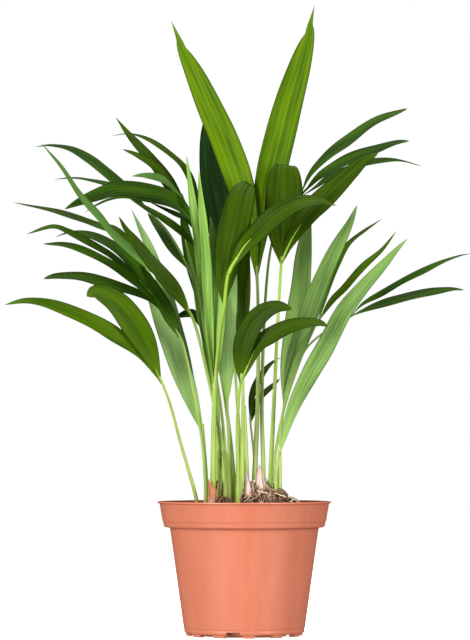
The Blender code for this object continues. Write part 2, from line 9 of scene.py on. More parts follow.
import logging
import math
import random
from dataclasses import dataclass
from enum import Enum
from typing import Any, Callable, Optional, Sequence

import bmesh
import bpy
from mathutils import Euler, Matrix, Vector, noise


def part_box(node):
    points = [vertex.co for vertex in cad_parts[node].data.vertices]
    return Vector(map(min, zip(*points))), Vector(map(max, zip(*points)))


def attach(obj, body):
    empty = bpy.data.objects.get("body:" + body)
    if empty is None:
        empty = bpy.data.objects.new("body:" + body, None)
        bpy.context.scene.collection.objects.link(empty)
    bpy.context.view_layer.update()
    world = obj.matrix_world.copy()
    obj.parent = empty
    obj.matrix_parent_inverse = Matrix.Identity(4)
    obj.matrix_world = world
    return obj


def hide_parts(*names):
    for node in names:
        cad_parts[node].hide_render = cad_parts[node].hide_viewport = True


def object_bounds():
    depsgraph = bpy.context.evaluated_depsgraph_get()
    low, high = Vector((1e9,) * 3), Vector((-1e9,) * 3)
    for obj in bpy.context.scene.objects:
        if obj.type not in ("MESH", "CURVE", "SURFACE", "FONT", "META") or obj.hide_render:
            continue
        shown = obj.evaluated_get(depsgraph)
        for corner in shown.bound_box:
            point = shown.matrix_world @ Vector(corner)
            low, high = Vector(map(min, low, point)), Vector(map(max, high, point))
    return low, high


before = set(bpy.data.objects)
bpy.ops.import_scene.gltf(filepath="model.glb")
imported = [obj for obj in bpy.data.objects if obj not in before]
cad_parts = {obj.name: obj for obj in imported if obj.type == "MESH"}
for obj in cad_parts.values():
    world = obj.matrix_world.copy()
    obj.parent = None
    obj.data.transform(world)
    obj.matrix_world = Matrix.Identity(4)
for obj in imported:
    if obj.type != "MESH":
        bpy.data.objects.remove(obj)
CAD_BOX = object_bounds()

LOG = logging.getLogger("potted_palm")
MM = 0.001                     # one millimetre in metres
WELD = 1e-6                    # vertices nearer than this, in metres, are one
BATCH = 20                     # strands or crumbs that are laid together
FLOOR_GAP = 0.1                # between the feet and the studio's floor
ALONG, SIDE, SHADE = "along", "side", "shade"
UV_NAME = "blade"
Point = tuple[float, float, float]
Place = Callable[[float, float], Vector]


# ------------------------------------------------------------------ shading helpers

def linear(code: str) -> tuple[float, float, float, float]:
    """Turn an sRGB hex colour into the linear colour that shaders take.

    Args:
        code: Six hex digits.

    Returns:
        Linear red, green, blue and an alpha of one.
    """
    parts = [int(code[i:i + 2], 16) / 255 for i in (0, 2, 4)]
    channels = [c / 12.92 if c <= 0.04045 else ((c + 0.055) / 1.055) ** 2.4 for c in parts]
    return (channels[0], channels[1], channels[2], 1.0)


def repeats(*sizes: float) -> tuple[float, ...]:
    """Give how often patterns repeat in a metre, from their real sizes in millimetres."""
    return tuple(1 / (size * MM) for size in sizes)


def add_node(tree: bpy.types.NodeTree, kind: str, inputs: Optional[dict] = None,
             stops: Sequence[tuple[float, Any]] = (), **settings: Any) -> bpy.types.Node:
    """Add one shader node with its settings and links.

    Args:
        tree: The material's node tree.
        kind: The node's type name, less "ShaderNode".
        inputs: Values for its sockets, by name or number; another node's output is linked.
        stops: Positions and colours of a colour ramp, as hex codes or grey levels.
        settings: Properties of the node itself.

    Returns:
        The new node.
    """
    made = tree.nodes.new("ShaderNode" + kind)
    for name, value in settings.items():
        setattr(made, name, value)
    for key, value in (inputs or {}).items():
        if isinstance(value, bpy.types.NodeSocket):
            tree.links.new(value, made.inputs[key])
        else:
            made.inputs[key].default_value = value
    for i, (position, colour) in enumerate(stops):
        elements = made.color_ramp.elements
        stop = elements[i] if i < 2 else elements.new(position)
        stop.position = position
        stop.color = linear(colour) if isinstance(colour, str) else (colour, colour, colour, 1.0)
    return made


MASK, UNDER, OVER, LAID = 0, 6, 7, 2            # sockets of a Mix node set to colours


def layered(tree: bpy.types.NodeTree, base: bpy.types.NodeSocket,
            *coats: tuple[bpy.types.NodeSocket, str]) -> bpy.types.NodeSocket:
    """Lay colours over one another.

    Args:
        tree: The material's node tree.
        base: The lowest colour's output.
        coats: Where each further colour shows, as an output, and its hex code.

    Returns:
        The output of the colour that comes of it.
    """
    for mask, code in coats:
        laid = add_node(tree, "Mix", {MASK: mask, UNDER: base, OVER: linear(code)},
                        data_type="RGBA")
        base = laid.outputs[LAID]
    return base


def new_material(name: str, surface: dict) -> tuple[bpy.types.Material, bpy.types.Node]:
    """Make a material with one Principled shader.

    Args:
        name: The material's name.
        surface: Values that are the same all over, by socket name.

    Returns:
        The material and its shader node.
    """
    made = bpy.data.materials.new(name)
    made.use_nodes = True
    shader = made.node_tree.nodes["Principled BSDF"]
    for key, value in surface.items():
        shader.inputs[key].default_value = value
    return made, shader


# ------------------------------------------------------------------ finishes

@dataclass(frozen=True)
class Finish:
    """One surface, whose material is made once and shared by the pieces that have it."""

    name: str

    def surface(self) -> dict:
        """Give the shader's values that are the same all over, by socket name."""
        raise NotImplementedError

    def dress(self, tree: bpy.types.NodeTree, shader: bpy.types.Node) -> None:
        """Add the patterns of colour, gloss and relief to a new material.

        Args:
            tree: The material's node tree.
            shader: Its Principled shader.
        """
        raise NotImplementedError

    def material(self) -> bpy.types.Material:
        """Build the material, or give back the one already made.

        Returns:
            The material.
        """
        made = bpy.data.materials.get(self.name)
        if made is None:
            made, shader = new_material(self.name, self.surface())
            self.dress(made.node_tree, shader)
        return made

    @staticmethod
    def join(tree: bpy.types.NodeTree, shader: bpy.types.Node, colour: bpy.types.NodeSocket,
             height: bpy.types.NodeSocket, depth: float,
             gloss: Optional[tuple[float, float]] = None) -> None:
        """Join colour, relief and gloss to the shader.

        Args:
            tree: The material's node tree.
            shader: Its Principled shader.
            colour: The colour's output.
            height: The relief's output, from 0 to 1.
            depth: The relief's full depth in millimetres.
            gloss: Roughness in the grooves and on the crests, or None where it is even.
        """
        tree.links.new(colour, shader.inputs["Base Color"])
        bump = add_node(tree, "Bump", {"Height": height, "Distance": depth * MM,
                                       "Strength": 1.0})
        tree.links.new(bump.outputs["Normal"], shader.inputs["Normal"])
        if gloss:
            varied = add_node(tree, "MapRange", {
                "Value": height, "To Min": gloss[0], "To Max": gloss[1]})
            tree.links.new(varied.outputs[0], shader.inputs["Roughness"])


@dataclass(frozen=True)
class LeafSkin(Finish):
    """Palm leaf cuticle: a waxy satin film over long parallel veins.

    It gives the eye fine streaks along the blade, a pale raised rib or three, darker margins
    and a limey foot where the blade leaves its stalk.
    """

    low: str                   # colour between the veins, darkest
    high: str                  # and lightest
    streak: str                # the pale lines along the veins
    rib: str                   # the midrib and the two ribs beside it
    margin: str                # the outer edge
    foot: str                  # where the blade leaves its stalk
    roughness: float = 0.42
    specular: float = 0.08
    vein: float = 1.1          # mm between veins, drawn coarser than the real 0.4 so that they show
    vein_run: float = 90.0     # mm that one vein keeps its tone
    band: float = 6.0          # mm across the broad lighter and darker bands
    band_run: float = 50.0     # mm that one band keeps its tone
    relief: float = 0.10       # mm from groove to crest
    fine: float = 0.30         # how strongly the pale lines show
    ribbed: float = 0.22       # how strongly the ribs stand out

    def surface(self) -> dict:
        """Give the shader's values that are the same all over, by socket name."""
        return {"Roughness": self.roughness, "IOR": 1.42, "Specular IOR Level": self.specular}

    def dress(self, tree: bpy.types.NodeTree, shader: bpy.types.Node) -> None:
        """Add the veins, bands, ribs, margin, foot and tip.

        Args:
            tree: The material's node tree.
            shader: Its Principled shader.
        """
        uv = add_node(tree, "UVMap", uv_map=UV_NAME).outputs["UV"]
        along, side, shade = [add_node(tree, "Attribute", attribute_name=name).outputs["Fac"]
                              for name in (ALONG, SIDE, SHADE)]
        lengthwise = add_node(tree, "Mapping", {
            "Vector": uv, "Scale": (*repeats(self.vein, self.vein_run), 1.0)})
        veins = add_node(tree, "TexNoise", {
            "Vector": lengthwise.outputs["Vector"], "Scale": 1.0, "Detail": 2.5,
            "Roughness": 0.6}, noise_dimensions="2D").outputs["Fac"]
        broad = add_node(tree, "Mapping", {
            "Vector": uv, "Scale": (*repeats(self.band, self.band_run), 1.0)})
        bands = add_node(tree, "TexNoise", {
            "Vector": broad.outputs["Vector"], "Scale": 1.0, "Detail": 1.0},
            noise_dimensions="2D").outputs["Fac"]
        from_midrib = add_node(tree, "Math", {0: side}, operation="ABSOLUTE").outputs[0]
        tone = add_node(tree, "Math", {0: bands, 1: shade}, operation="ADD").outputs[0]
        body, fine, ribs, rim, root, tip = [
            add_node(tree, "ValToRGB", {"Fac": source}, stops).outputs["Color"]
            for source, stops in (
                (tone, [(0.32, self.low), (0.68, self.high)]),
                (veins, [(0.45, 0.0), (0.72, self.fine)]),
                (from_midrib, [(0.0, self.ribbed), (0.05, 0.0), (0.36, 0.0),
                               (0.40, 0.7 * self.ribbed), (0.44, 0.0), (0.68, 0.0),
                               (0.72, 0.5 * self.ribbed), (0.76, 0.0)]),
                (from_midrib, [(0.86, 0.0), (1.0, 0.85)]),
                (along, [(0.0, 0.9), (0.30, 0.0)]),
                (along, [(0.93, 0.0), (1.0, 0.6)]))]
        colour = layered(tree, body, (fine, self.streak), (ribs, self.rib), (rim, self.margin),
                         (root, self.foot), (tip, self.streak))
        self.join(tree, shader, colour, veins, self.relief,
                  (self.roughness - 0.06, self.roughness + 0.10))


class Skin(Enum):
    """The leaf surfaces that the plant shows."""

    # partly a young leaf's lighter green, partly painted light: the vivid yellow-green of light
    # shining through the tall leaf from behind
    YOUNG_BACKLIT = LeafSkin("leaf_upper_young_backlit", low="426200", high="5c7e02", streak="6f9418",
                     rib="8fb444", margin="3a5603", foot="557808", ribbed=0.35)
    FRESH = LeafSkin("leaf_upper_fresh", low="345200", high="4a6a02", streak="58790f",
                     rib="638a20", margin="263f03", foot="52750c")
    MATURE = LeafSkin("leaf_upper_mature", low="243a00", high="344e00", streak="435e06",
                      rib="6f9a28", margin="1a2c02", foot="4a6a03", ribbed=0.15)
    # partly the fronds' own deep green, partly painted shade for the fronds that get less light
    DEEP_AND_SHADED = LeafSkin("leaf_upper_deep_and_shaded", low="1d3404", high="2f5005", streak="446818",
                    rib="527a24", margin="101f03", foot="3a620c", roughness=0.48,
                    specular=0.05, ribbed=0.15)
    # painted shade: a darker copy of the leaf skin for the leaf that stands in the tall leaf's
    # shadow
    SHADED = LeafSkin("leaf_upper_shaded", low="14280a", high="1e3c10", streak="2c4a1c",
                      rib="35582a", margin="0c1a08", foot="2a4c10", roughness=0.52,
                      specular=0.04, ribbed=0.12)
    PALE = LeafSkin("leaf_under_pale", low="7ca452", high="98be6e", streak="b2d690",
                    rib="bcdc98", margin="5f8838", foot="9ccb5f", roughness=0.5, fine=0.5)
    BRIGHT = LeafSkin("leaf_under_bright", low="6c9a34", high="92c050", streak="bce488",
                      rib="cdee98", margin="4c7a20", foot="5e8e18", roughness=0.5, fine=0.5)
    GLAUCOUS = LeafSkin("leaf_under_glaucous", low="567a34", high="7aa04a", streak="9abe74",
                        rib="a8cc86", margin="3c6428", foot="a0c870", roughness=0.5, fine=0.5)
    UNDER = LeafSkin("leaf_under_green", low="406624", high="557e34", streak="74984e",
                     rib="9cc46a", margin="3a5c1c", foot="84b240", roughness=0.5, fine=0.5)


@dataclass(frozen=True)
class StalkSkin(Finish):
    """Palm leaf stalk: smooth and firm, ribbed lengthwise like celery.

    It gives the eye bright lime streaks, earthy where it enters the soil.
    """

    low: str
    high: str
    streak: str
    crown: str                 # high up, among the leaflets
    soil_tint: str = "a98a58"
    soil: tuple[float, float] = (88.0, 103.0)   # mm up, where the soil's tint is full and gone
    leafy: tuple[float, float] = (170.0, 250.0)  # mm up, where the crown's colour starts and is full
    rib: float = 0.7           # mm between ribs, drawn a little coarser than real so that they show
    rib_run: float = 60.0      # mm that one rib keeps its tone
    patch: float = 22.0        # mm across the lighter and darker patches
    relief: float = 0.12       # mm from groove to crest

    def surface(self) -> dict:
        """Give the shader's values that are the same all over, by socket name."""
        return {"Roughness": 0.38, "IOR": 1.42, "Specular IOR Level": 0.35}

    def dress(self, tree: bpy.types.NodeTree, shader: bpy.types.Node) -> None:
        """Add the patches, the streaked ribs and the tints at the soil and at the crown.

        Args:
            tree: The material's node tree.
            shader: Its Principled shader.
        """
        uv = add_node(tree, "UVMap", uv_map=UV_NAME).outputs["UV"]
        place = add_node(tree, "TexCoord").outputs["Object"]
        height = add_node(tree, "SeparateXYZ", {"Vector": place}).outputs["Z"]
        lengthwise = add_node(tree, "Mapping", {
            "Vector": uv, "Scale": (*repeats(self.rib, self.rib_run), 1.0)})
        ribs = add_node(tree, "TexNoise", {
            "Vector": lengthwise.outputs["Vector"], "Scale": 1.0, "Detail": 2.0},
            noise_dimensions="2D").outputs["Fac"]
        patches = add_node(tree, "TexNoise", {
            "Vector": place, "Scale": 1 / (self.patch * MM), "Detail": 2.0}).outputs["Fac"]
        body = add_node(tree, "ValToRGB", {"Fac": patches}, [(0.35, self.low), (0.65, self.high)])
        lines = add_node(tree, "ValToRGB", {"Fac": ribs}, [(0.45, 0.0), (0.7, 0.8)])
        earthy = add_node(tree, "MapRange", {
            "Value": height, "From Min": self.soil[0] * MM, "From Max": self.soil[1] * MM,
            "To Min": 0.75, "To Max": 0.0})
        leafy = add_node(tree, "MapRange", {
            "Value": height, "From Min": self.leafy[0] * MM, "From Max": self.leafy[1] * MM,
            "To Min": 0.0, "To Max": 0.85})
        colour = layered(tree, body.outputs["Color"], (lines.outputs["Color"], self.streak),
                         (earthy.outputs[0], self.soil_tint), (leafy.outputs[0], self.crown))
        self.join(tree, shader, colour, ribs, self.relief)


class Stalk(Enum):
    """The stalk surfaces: lime on the leaves in front, and olive painted lighter as painted light on
    the stalks that stand behind the others.
    """

    LIME = StalkSkin("stalk_lime", low="8cac3e", high="a6c454", streak="c2da78",
                     crown="a2ca3c")
    GREEN = StalkSkin("stalk_green", low="88a840", high="a6c45a", streak="c8e088",
                      crown="4c7418")
    # painted light: lighter than the others, for the tall leaf's stalk and the stub, which stand
    # behind the other stalks in their shade
    OLIVE_LIT = StalkSkin("stalk_olive_lit", low="9cb450", high="bcd06c", streak="d8e69c",
                      crown="94b04c")


@dataclass(frozen=True)
class PotPlastic(Finish):
    """Injection-moulded polypropylene in terracotta orange.

    It gives the eye a satin skin with soft broad highlights, faint flow marks running up the
    wall, a little dust near the foot and painted shade on the inner wall above the mix.
    """

    name: str = "pot_polypropylene"
    colour: str = "e18566"
    deep: str = "dc7d5d"
    dust: str = "e0a184"
    painted_inner_shade: str = "8a4226"     # painted shade on the inner wall above the mix, where it lies in shadow
    dusty: float = 22.0        # mm up that the dust reaches
    speck: float = 2.2         # mm across a speck of dust
    inner_shade_rise: tuple[float, float] = (84.0, 87.0)   # mm up, where the painted shade starts and is full
    middle: float = 41.6       # mm, radius of the wall's middle, carried down to height 0
    taper: float = 0.19        # how much that radius grows for each mm of height
    edge: float = 0.3          # mm either side of the wall's middle over which the painted shade ends
    roughness: float = 0.36
    grain: float = 0.9         # mm across the moulded texture, drawn coarser than real
    relief: float = 0.03       # mm deep
    flow: float = 7.0          # mm between flow marks
    flow_run: float = 90.0     # mm that one flow mark keeps its tone

    def surface(self) -> dict:
        """Give the shader's values that are the same all over, by socket name."""
        return {"Roughness": self.roughness, "IOR": 1.49, "Specular IOR Level": 0.5,
                "Coat Weight": 0.1, "Coat Roughness": 0.3}

    def dress(self, tree: bpy.types.NodeTree, shader: bpy.types.Node) -> None:
        """Add the flow marks, the dust, the painted shade inside the rim and the moulded grain.

        Args:
            tree: The material's node tree.
            shader: Its Principled shader.
        """
        place = add_node(tree, "TexCoord").outputs["Object"]
        height = add_node(tree, "SeparateXYZ", {"Vector": place}).outputs["Z"]
        upward = add_node(tree, "Mapping", {
            "Vector": place, "Scale": repeats(self.flow, self.flow, self.flow_run)})
        flow = add_node(tree, "TexNoise", {
            "Vector": upward.outputs["Vector"], "Scale": 1.0, "Detail": 3.0}).outputs["Fac"]
        grain = add_node(tree, "TexNoise", {
            "Vector": place, "Scale": 1 / (self.grain * MM), "Detail": 2.0}).outputs["Fac"]
        specks = add_node(tree, "TexNoise", {
            "Vector": place, "Scale": 1 / (self.speck * MM), "Detail": 3.0,
            "Roughness": 0.75}).outputs["Fac"]
        base = add_node(tree, "ValToRGB", {"Fac": flow}, [(0.3, self.deep), (0.7, self.colour)])
        low = add_node(tree, "MapRange", {
            "Value": height, "From Min": 0.0, "From Max": self.dusty * MM, "To Min": 0.45,
            "To Max": 0.0})
        speck = add_node(tree, "ValToRGB", {"Fac": specks}, [(0.55, 0.0), (0.8, 1.0)])
        dusty = add_node(tree, "Math", {0: low.outputs[0], 1: speck.outputs["Color"]},
                         operation="MULTIPLY")
        # painted shade: the inner wall above the mix is darkened as if it lay in shadow
        colour = layered(tree, base.outputs["Color"], (dusty.outputs[0], self.dust),
                         (self._inner_shade_mask(tree, place, height), self.painted_inner_shade))
        self.join(tree, shader, colour, grain, self.relief,
                  (self.roughness - 0.05, self.roughness + 0.07))

    def _inner_shade_mask(self, tree: bpy.types.NodeTree, place: bpy.types.NodeSocket,
                 height: bpy.types.NodeSocket) -> bpy.types.NodeSocket:
        """Find where painted shade darkens the inside of the wall.

        Args:
            tree: The material's node tree.
            place: The output of Object coordinates.
            height: The output of their Z.

        Returns:
            An output that is bright on the inside of the wall above the mix, where the shade is
            painted.
        """
        level = add_node(tree, "Mapping", {"Vector": place, "Scale": (1.0, 1.0, 0.0)})
        reach = add_node(tree, "VectorMath", {0: level.outputs["Vector"]}, operation="LENGTH")
        upright = add_node(tree, "Math", {0: height, 1: -self.taper, 2: reach.outputs["Value"]},
                           operation="MULTIPLY_ADD")
        within = add_node(tree, "MapRange", {
            "Value": upright.outputs[0], "From Min": (self.middle + self.edge) * MM,
            "From Max": (self.middle - self.edge) * MM})
        above = add_node(tree, "MapRange", {
            "Value": height, "From Min": self.inner_shade_rise[0] * MM, "From Max": self.inner_shade_rise[1] * MM,
            "To Max": 0.8})
        return add_node(tree, "Math", {0: within.outputs[0], 1: above.outputs[0]},
                        operation="MULTIPLY").outputs[0]


POT_PLASTIC = PotPlastic()


@dataclass(frozen=True)
class Mottled(Finish):
    """A matt crumbly or stringy stuff that is mottled in three tones."""

    tones: tuple[tuple[float, str], ...]        # from dark to pale
    mottle: float              # mm across a patch of one tone
    detail: float              # how many finer layers the mottling has
    relief: float              # mm deep
    roughness: float
    specular: float

    def surface(self) -> dict:
        """Give the shader's values that are the same all over, by socket name."""
        return {"Roughness": self.roughness, "Specular IOR Level": self.specular}

    def dress(self, tree: bpy.types.NodeTree, shader: bpy.types.Node) -> None:
        """Add the mottling, shifted on each crumb or strand by its own shade.

        Args:
            tree: The material's node tree.
            shader: Its Principled shader.
        """
        place = add_node(tree, "TexCoord").outputs["Object"]
        shade = add_node(tree, "Attribute", attribute_name=SHADE).outputs["Fac"]
        mottle = add_node(tree, "TexNoise", {
            "Vector": place, "Scale": 1 / (self.mottle * MM), "Detail": self.detail,
            "Roughness": 0.7}).outputs["Fac"]
        tone = add_node(tree, "Math", {0: mottle, 1: shade}, operation="ADD")
        colour = add_node(tree, "ValToRGB", {"Fac": tone.outputs[0]}, self.tones)
        self.join(tree, shader, colour.outputs["Color"], mottle, self.relief)


# Peat, composted bark and coir, damp: near-black crumbs with brown bark and pale wood fibres.
LOOSE_MIX = Mottled("potting_mix_peat", ((0.35, "21150d"), (0.60, "4a3220"), (0.85, "8a6a48")),
                    mottle=1.6, detail=4.0, relief=0.5, roughness=0.95, specular=0.2)
# Matted palm roots and coir, dry and stringy: tan and brown strands with fine dark marks.
ROOT_FIBRE = Mottled("root_fibre", ((0.28, "4c2e20"), (0.55, "ae8664"), (0.88, "f6e0c8")),
                     mottle=2.4, detail=3.0, relief=0.25, roughness=0.85, specular=0.25)


@dataclass(frozen=True)
class DrySheath(Finish):
    """Papery leaf sheath: dried round the stalk, split into long fibres.

    It gives the eye fibres running upward, darker in the grooves and bleached at the foot.
    """

    groove: str
    crest: str
    foot: str
    fibre: float = 0.8         # mm between fibres, drawn coarser than the real 0.3
    fibre_run: float = 25.0    # mm that one fibre keeps its tone
    relief: float = 0.2        # mm from groove to crest
    roughness: float = 0.75
    bleach: float = 0.8        # how strongly the foot's colour shows

    def surface(self) -> dict:
        """Give the shader's values that are the same all over, by socket name."""
        return {"Roughness": self.roughness, "Specular IOR Level": 0.25}

    def dress(self, tree: bpy.types.NodeTree, shader: bpy.types.Node) -> None:
        """Add the fibres and the bleached foot.

        Args:
            tree: The material's node tree.
            shader: Its Principled shader.
        """
        uv = add_node(tree, "UVMap", uv_map=UV_NAME).outputs["UV"]
        along = add_node(tree, "Attribute", attribute_name=ALONG).outputs["Fac"]
        lengthwise = add_node(tree, "Mapping", {
            "Vector": uv, "Scale": (*repeats(self.fibre, self.fibre_run), 1.0)})
        fibres = add_node(tree, "TexNoise", {
            "Vector": lengthwise.outputs["Vector"], "Scale": 1.0, "Detail": 3.0,
            "Roughness": 0.65}, noise_dimensions="2D").outputs["Fac"]
        body = add_node(tree, "ValToRGB", {"Fac": fibres},
                        [(0.35, self.groove), (0.65, self.crest)])
        bleached = add_node(tree, "ValToRGB", {"Fac": along}, [(0.1, self.bleach), (0.55, 0.0)])
        colour = layered(tree, body.outputs["Color"], (bleached.outputs["Color"], self.foot))
        self.join(tree, shader, colour, fibres, self.relief)


BROWN_SHEATH = DrySheath("sheath_brown_paper", groove="a05a30", crest="e0a078", foot="f0dcc8")
PINK_SHEATH = DrySheath("sheath_pink_paper", groove="a4725c", crest="fbe9de", foot="cfa78c",
                        fibre=1.5)
GREEN_SHEATH = DrySheath("sheath_green_skin", groove="86a440", crest="b6cc68", foot="b8a878",
                         roughness=0.5, bleach=0.4)


# ------------------------------------------------------------------ modelling helpers

class Path:
    """Evenly spaced samples along a smooth curve through given points.

    Each sample has a direction and a facing, which starts toward the front and turns only as
    far as the curve makes it.
    """

    FINE = 12                  # short steps between two given points

    def __init__(self, points: Sequence[Point], rows: Optional[int] = None,
                 step: float = 3.0) -> None:
        """Sample the curve.

        Args:
            points: The points that the curve passes through, in millimetres.
            rows: How many steps to take; worked out from the step where it isn't given.
            step: The wanted distance between samples in millimetres.
        """
        fine = self._smooth([Vector(p) for p in points])
        travelled = [0.0]
        for a, b in zip(fine, fine[1:]):
            travelled.append(travelled[-1] + (b - a).length)
        self.length = travelled[-1]
        self.rows = rows or max(8, round(self.length / step))
        self.samples = self._even(fine, travelled)
        self.aheads = self._directions()
        self.facings = self._facings()

    def _smooth(self, marks: list[Vector]) -> list[Vector]:
        """Find closely spaced points of the curve through the marks.

        Args:
            marks: The given points.

        Returns:
            The points of the curve.
        """
        ends = [2 * marks[0] - marks[1]] + marks + [2 * marks[-1] - marks[-2]]
        fine = []
        for i in range(1, len(ends) - 2):
            p0, p1, p2, p3 = ends[i - 1:i + 3]
            for k in range(self.FINE):
                t = k / self.FINE
                fine.append(0.5 * (2 * p1 + (p2 - p0) * t
                                   + (2 * p0 - 5 * p1 + 4 * p2 - p3) * t * t
                                   + (3 * p1 - p0 - 3 * p2 + p3) * t ** 3))
        return fine + [marks[-1]]

    def _even(self, fine: list[Vector], travelled: list[float]) -> list[Vector]:
        """Pick evenly spaced points out of closely spaced ones.

        Args:
            fine: The closely spaced points.
            travelled: How far along the curve each of them lies.

        Returns:
            One point more than there are rows.
        """
        samples = []
        at = 0
        for i in range(self.rows + 1):
            want = self.length * i / self.rows
            while at < len(fine) - 2 and travelled[at + 1] < want:
                at += 1
            step = travelled[at + 1] - travelled[at]
            samples.append(fine[at].lerp(fine[at + 1], (want - travelled[at]) / step))
        return samples

    def _directions(self) -> list[Vector]:
        """Find the curve's direction at each sample.

        Returns:
            The directions.
        """
        last = self.rows
        spans = [(self.samples[max(i - 1, 0)], self.samples[min(i + 1, last)])
                 for i in range(last + 1)]
        return [(b - a).normalized() for a, b in spans]

    def _facings(self) -> list[Vector]:
        """Carry the front's direction along the curve without twisting it.

        Returns:
            The facing at each sample.
        """
        facing = Vector((0.0, -1.0, 0.0))
        facings = []
        for ahead in self.aheads:
            facing = (facing - ahead * facing.dot(ahead)).normalized()
            facings.append(facing)
        return facings

    def frame(self, t: float, roll: float = 0.0) -> tuple[Vector, Vector, Vector]:
        """Give a point of the curve, the direction across it and the way it faces.

        Args:
            t: The fraction of the curve's length.
            roll: A turn about the curve in radians.

        Returns:
            The point, the sideways direction and the facing.
        """
        at = min(max(t, 0.0), 1.0) * self.rows
        row = min(int(at), self.rows - 1)
        rest = at - row
        centre = self.samples[row].lerp(self.samples[row + 1], rest)
        ahead = self.aheads[row].lerp(self.aheads[row + 1], rest).normalized()
        facing = self.facings[row].lerp(self.facings[row + 1], rest).normalized()
        across = ahead.cross(facing)
        side = across * math.cos(roll) + facing * math.sin(roll)
        face = facing * math.cos(roll) - across * math.sin(roll)
        return centre, side, face


class Piece:
    """A mesh in the making: sheets are laid into it, and it ends as one finished object."""

    def __init__(self, name: str, materials: Sequence[bpy.types.Material]) -> None:
        """Start an empty piece.

        Args:
            name: The finished object's name.
            materials: Its materials, in the order of the slots that sheets name.
        """
        self.name = name
        self.materials = list(materials)
        self.bm = bmesh.new()
        self.uv = self.bm.loops.layers.uv.new(UV_NAME)
        layers = self.bm.verts.layers.float
        self.marks = {key: layers.new(key) for key in (ALONG, SIDE, SHADE)}

    def sheet(self, columns: int, rows: int, place: Place, size: tuple[float, float],
              slot: int = 0, shade: float = 0.0, flipped: bool = False) -> list:
        """Lay a grid on a surface.

        Args:
            columns: Cells across.
            rows: Cells along.
            place: Gives a point in millimetres for fractions across and along.
            size: Millimetres across and along, for patterns drawn at real size.
            slot: The material slot of its faces.
            shade: How much lighter or darker this sheet is than its neighbours.
            flipped: True to turn the faces over.

        Returns:
            The sheet's vertices.
        """
        made = bmesh.ops.create_grid(self.bm, x_segments=columns, y_segments=rows, size=0.5)
        verts = made["verts"]
        spots = {}
        for vert in verts:
            u, v = vert.co.x + 0.5, vert.co.y + 0.5
            spots[vert] = ((u - 0.5) * size[0] * MM + shade, v * size[1] * MM + shade)
            vert[self.marks[ALONG]] = v
            vert[self.marks[SIDE]] = 2 * u - 1
            vert[self.marks[SHADE]] = shade
            vert.co = place(u, v) * MM
        faces = {face for vert in verts for face in vert.link_faces}
        for face in faces:
            face.material_index = slot
            for loop in face.loops:
                loop[self.uv].uv = spots[loop.vert]
        if flipped:
            bmesh.ops.reverse_faces(self.bm, faces=list(faces))
        return verts

    def tube(self, path: Path, radius: Callable[[float], float], sides: int, slot: int = 0,
             shade: float = 0.0, groove: float = 0.0) -> None:
        """Lay a closed tube along a path, its two ends drawn in to a point.

        Args:
            path: The line that it follows.
            radius: Gives its radius in millimetres at a fraction of its length.
            sides: Cells around it.
            slot: The material slot of its faces.
            shade: How much lighter or darker it is.
            groove: How deep a channel runs up its front, as a part of the radius.
        """
        rows = path.rows + 2

        def place(u: float, v: float) -> Vector:
            """Place the tube's surface.

            Args:
                u: The fraction of the way round.
                v: The fraction of the length.

            Returns:
                The point in millimetres.
            """
            step = round(v * rows)
            t = min(max(step - 1, 0), path.rows) / path.rows
            angle = (u - 0.5) * math.tau
            centre, side, face = path.frame(t)
            r = 0.0 if step in (0, rows) else radius(t)
            r *= 1.0 - groove * math.exp(-(angle / 0.5) ** 2)
            return centre + face * (r * math.cos(angle)) - side * (r * math.sin(angle))

        around = math.tau * radius(0.0)
        verts = self.sheet(sides, rows, place, (around, path.length), slot, shade)
        bmesh.ops.remove_doubles(self.bm, verts=verts, dist=WELD)

    def turned(self, section: Sequence[tuple[float, float]], steps: int) -> None:
        """Spin half a section into a closed body.

        Args:
            section: Radius and height of its points in millimetres.
            steps: Faces around it.
        """
        bm = self.bm
        ring = [bm.verts.new((r * MM, 0.0, z * MM)) for r, z in section]
        edges = [bm.edges.new(pair) for pair in zip(ring, ring[1:])]
        bmesh.ops.spin(bm, geom=ring + edges, cent=(0, 0, 0), axis=(0, 0, 1), angle=math.tau,
                       steps=steps, use_merge=True)
        bmesh.ops.remove_doubles(bm, verts=bm.verts, dist=WELD)
        bmesh.ops.recalc_face_normals(bm, faces=bm.faces)

    def absorb(self, other: Piece) -> None:
        """Take over the mesh of another piece, which saves time when many parts are laid.

        Args:
            other: The piece, which is used up.
        """
        mesh = bpy.data.meshes.new(other.name)
        other.bm.to_mesh(mesh)
        other.bm.free()
        self.bm.from_mesh(mesh)
        bpy.data.meshes.remove(mesh)

    def finish(self, smooth: bool = True) -> bpy.types.Object:
        """Turn the mesh into an object at the origin.

        Args:
            smooth: False to leave its faces flat.

        Returns:
            The new object, linked to the scene.
        """
        for face in self.bm.faces:
            face.smooth = smooth
        self.bm.normal_update()
        mesh = bpy.data.meshes.new(self.name)
        self.bm.to_mesh(mesh)
        self.bm.free()
        for material in self.materials:
            mesh.materials.append(material)
        made = bpy.data.objects.new(self.name, mesh)
        bpy.context.scene.collection.objects.link(made)
        return made


def stand_in_for(piece: bpy.types.Object, slot: str, *nodes: str) -> None:
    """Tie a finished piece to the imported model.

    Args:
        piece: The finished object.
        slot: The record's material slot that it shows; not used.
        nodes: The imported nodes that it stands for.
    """
    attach(piece, "root")
    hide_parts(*nodes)
    LOG.info("%s: %d faces, for %s", piece.name, len(piece.data.polygons), ", ".join(nodes))


def baked(made: bpy.types.Object) -> bpy.types.Object:
    """Replace an object's mesh by what its modifiers make of it.

    Args:
        made: The object.

    Returns:
        The same object, with no modifiers left.
    """
    bpy.context.view_layer.update()
    graph = bpy.context.evaluated_depsgraph_get()
    mesh = bpy.data.meshes.new_from_object(made.evaluated_get(graph))
    made.modifiers.clear()
    made.data = mesh
    return made


# ------------------------------------------------------------------ the pot

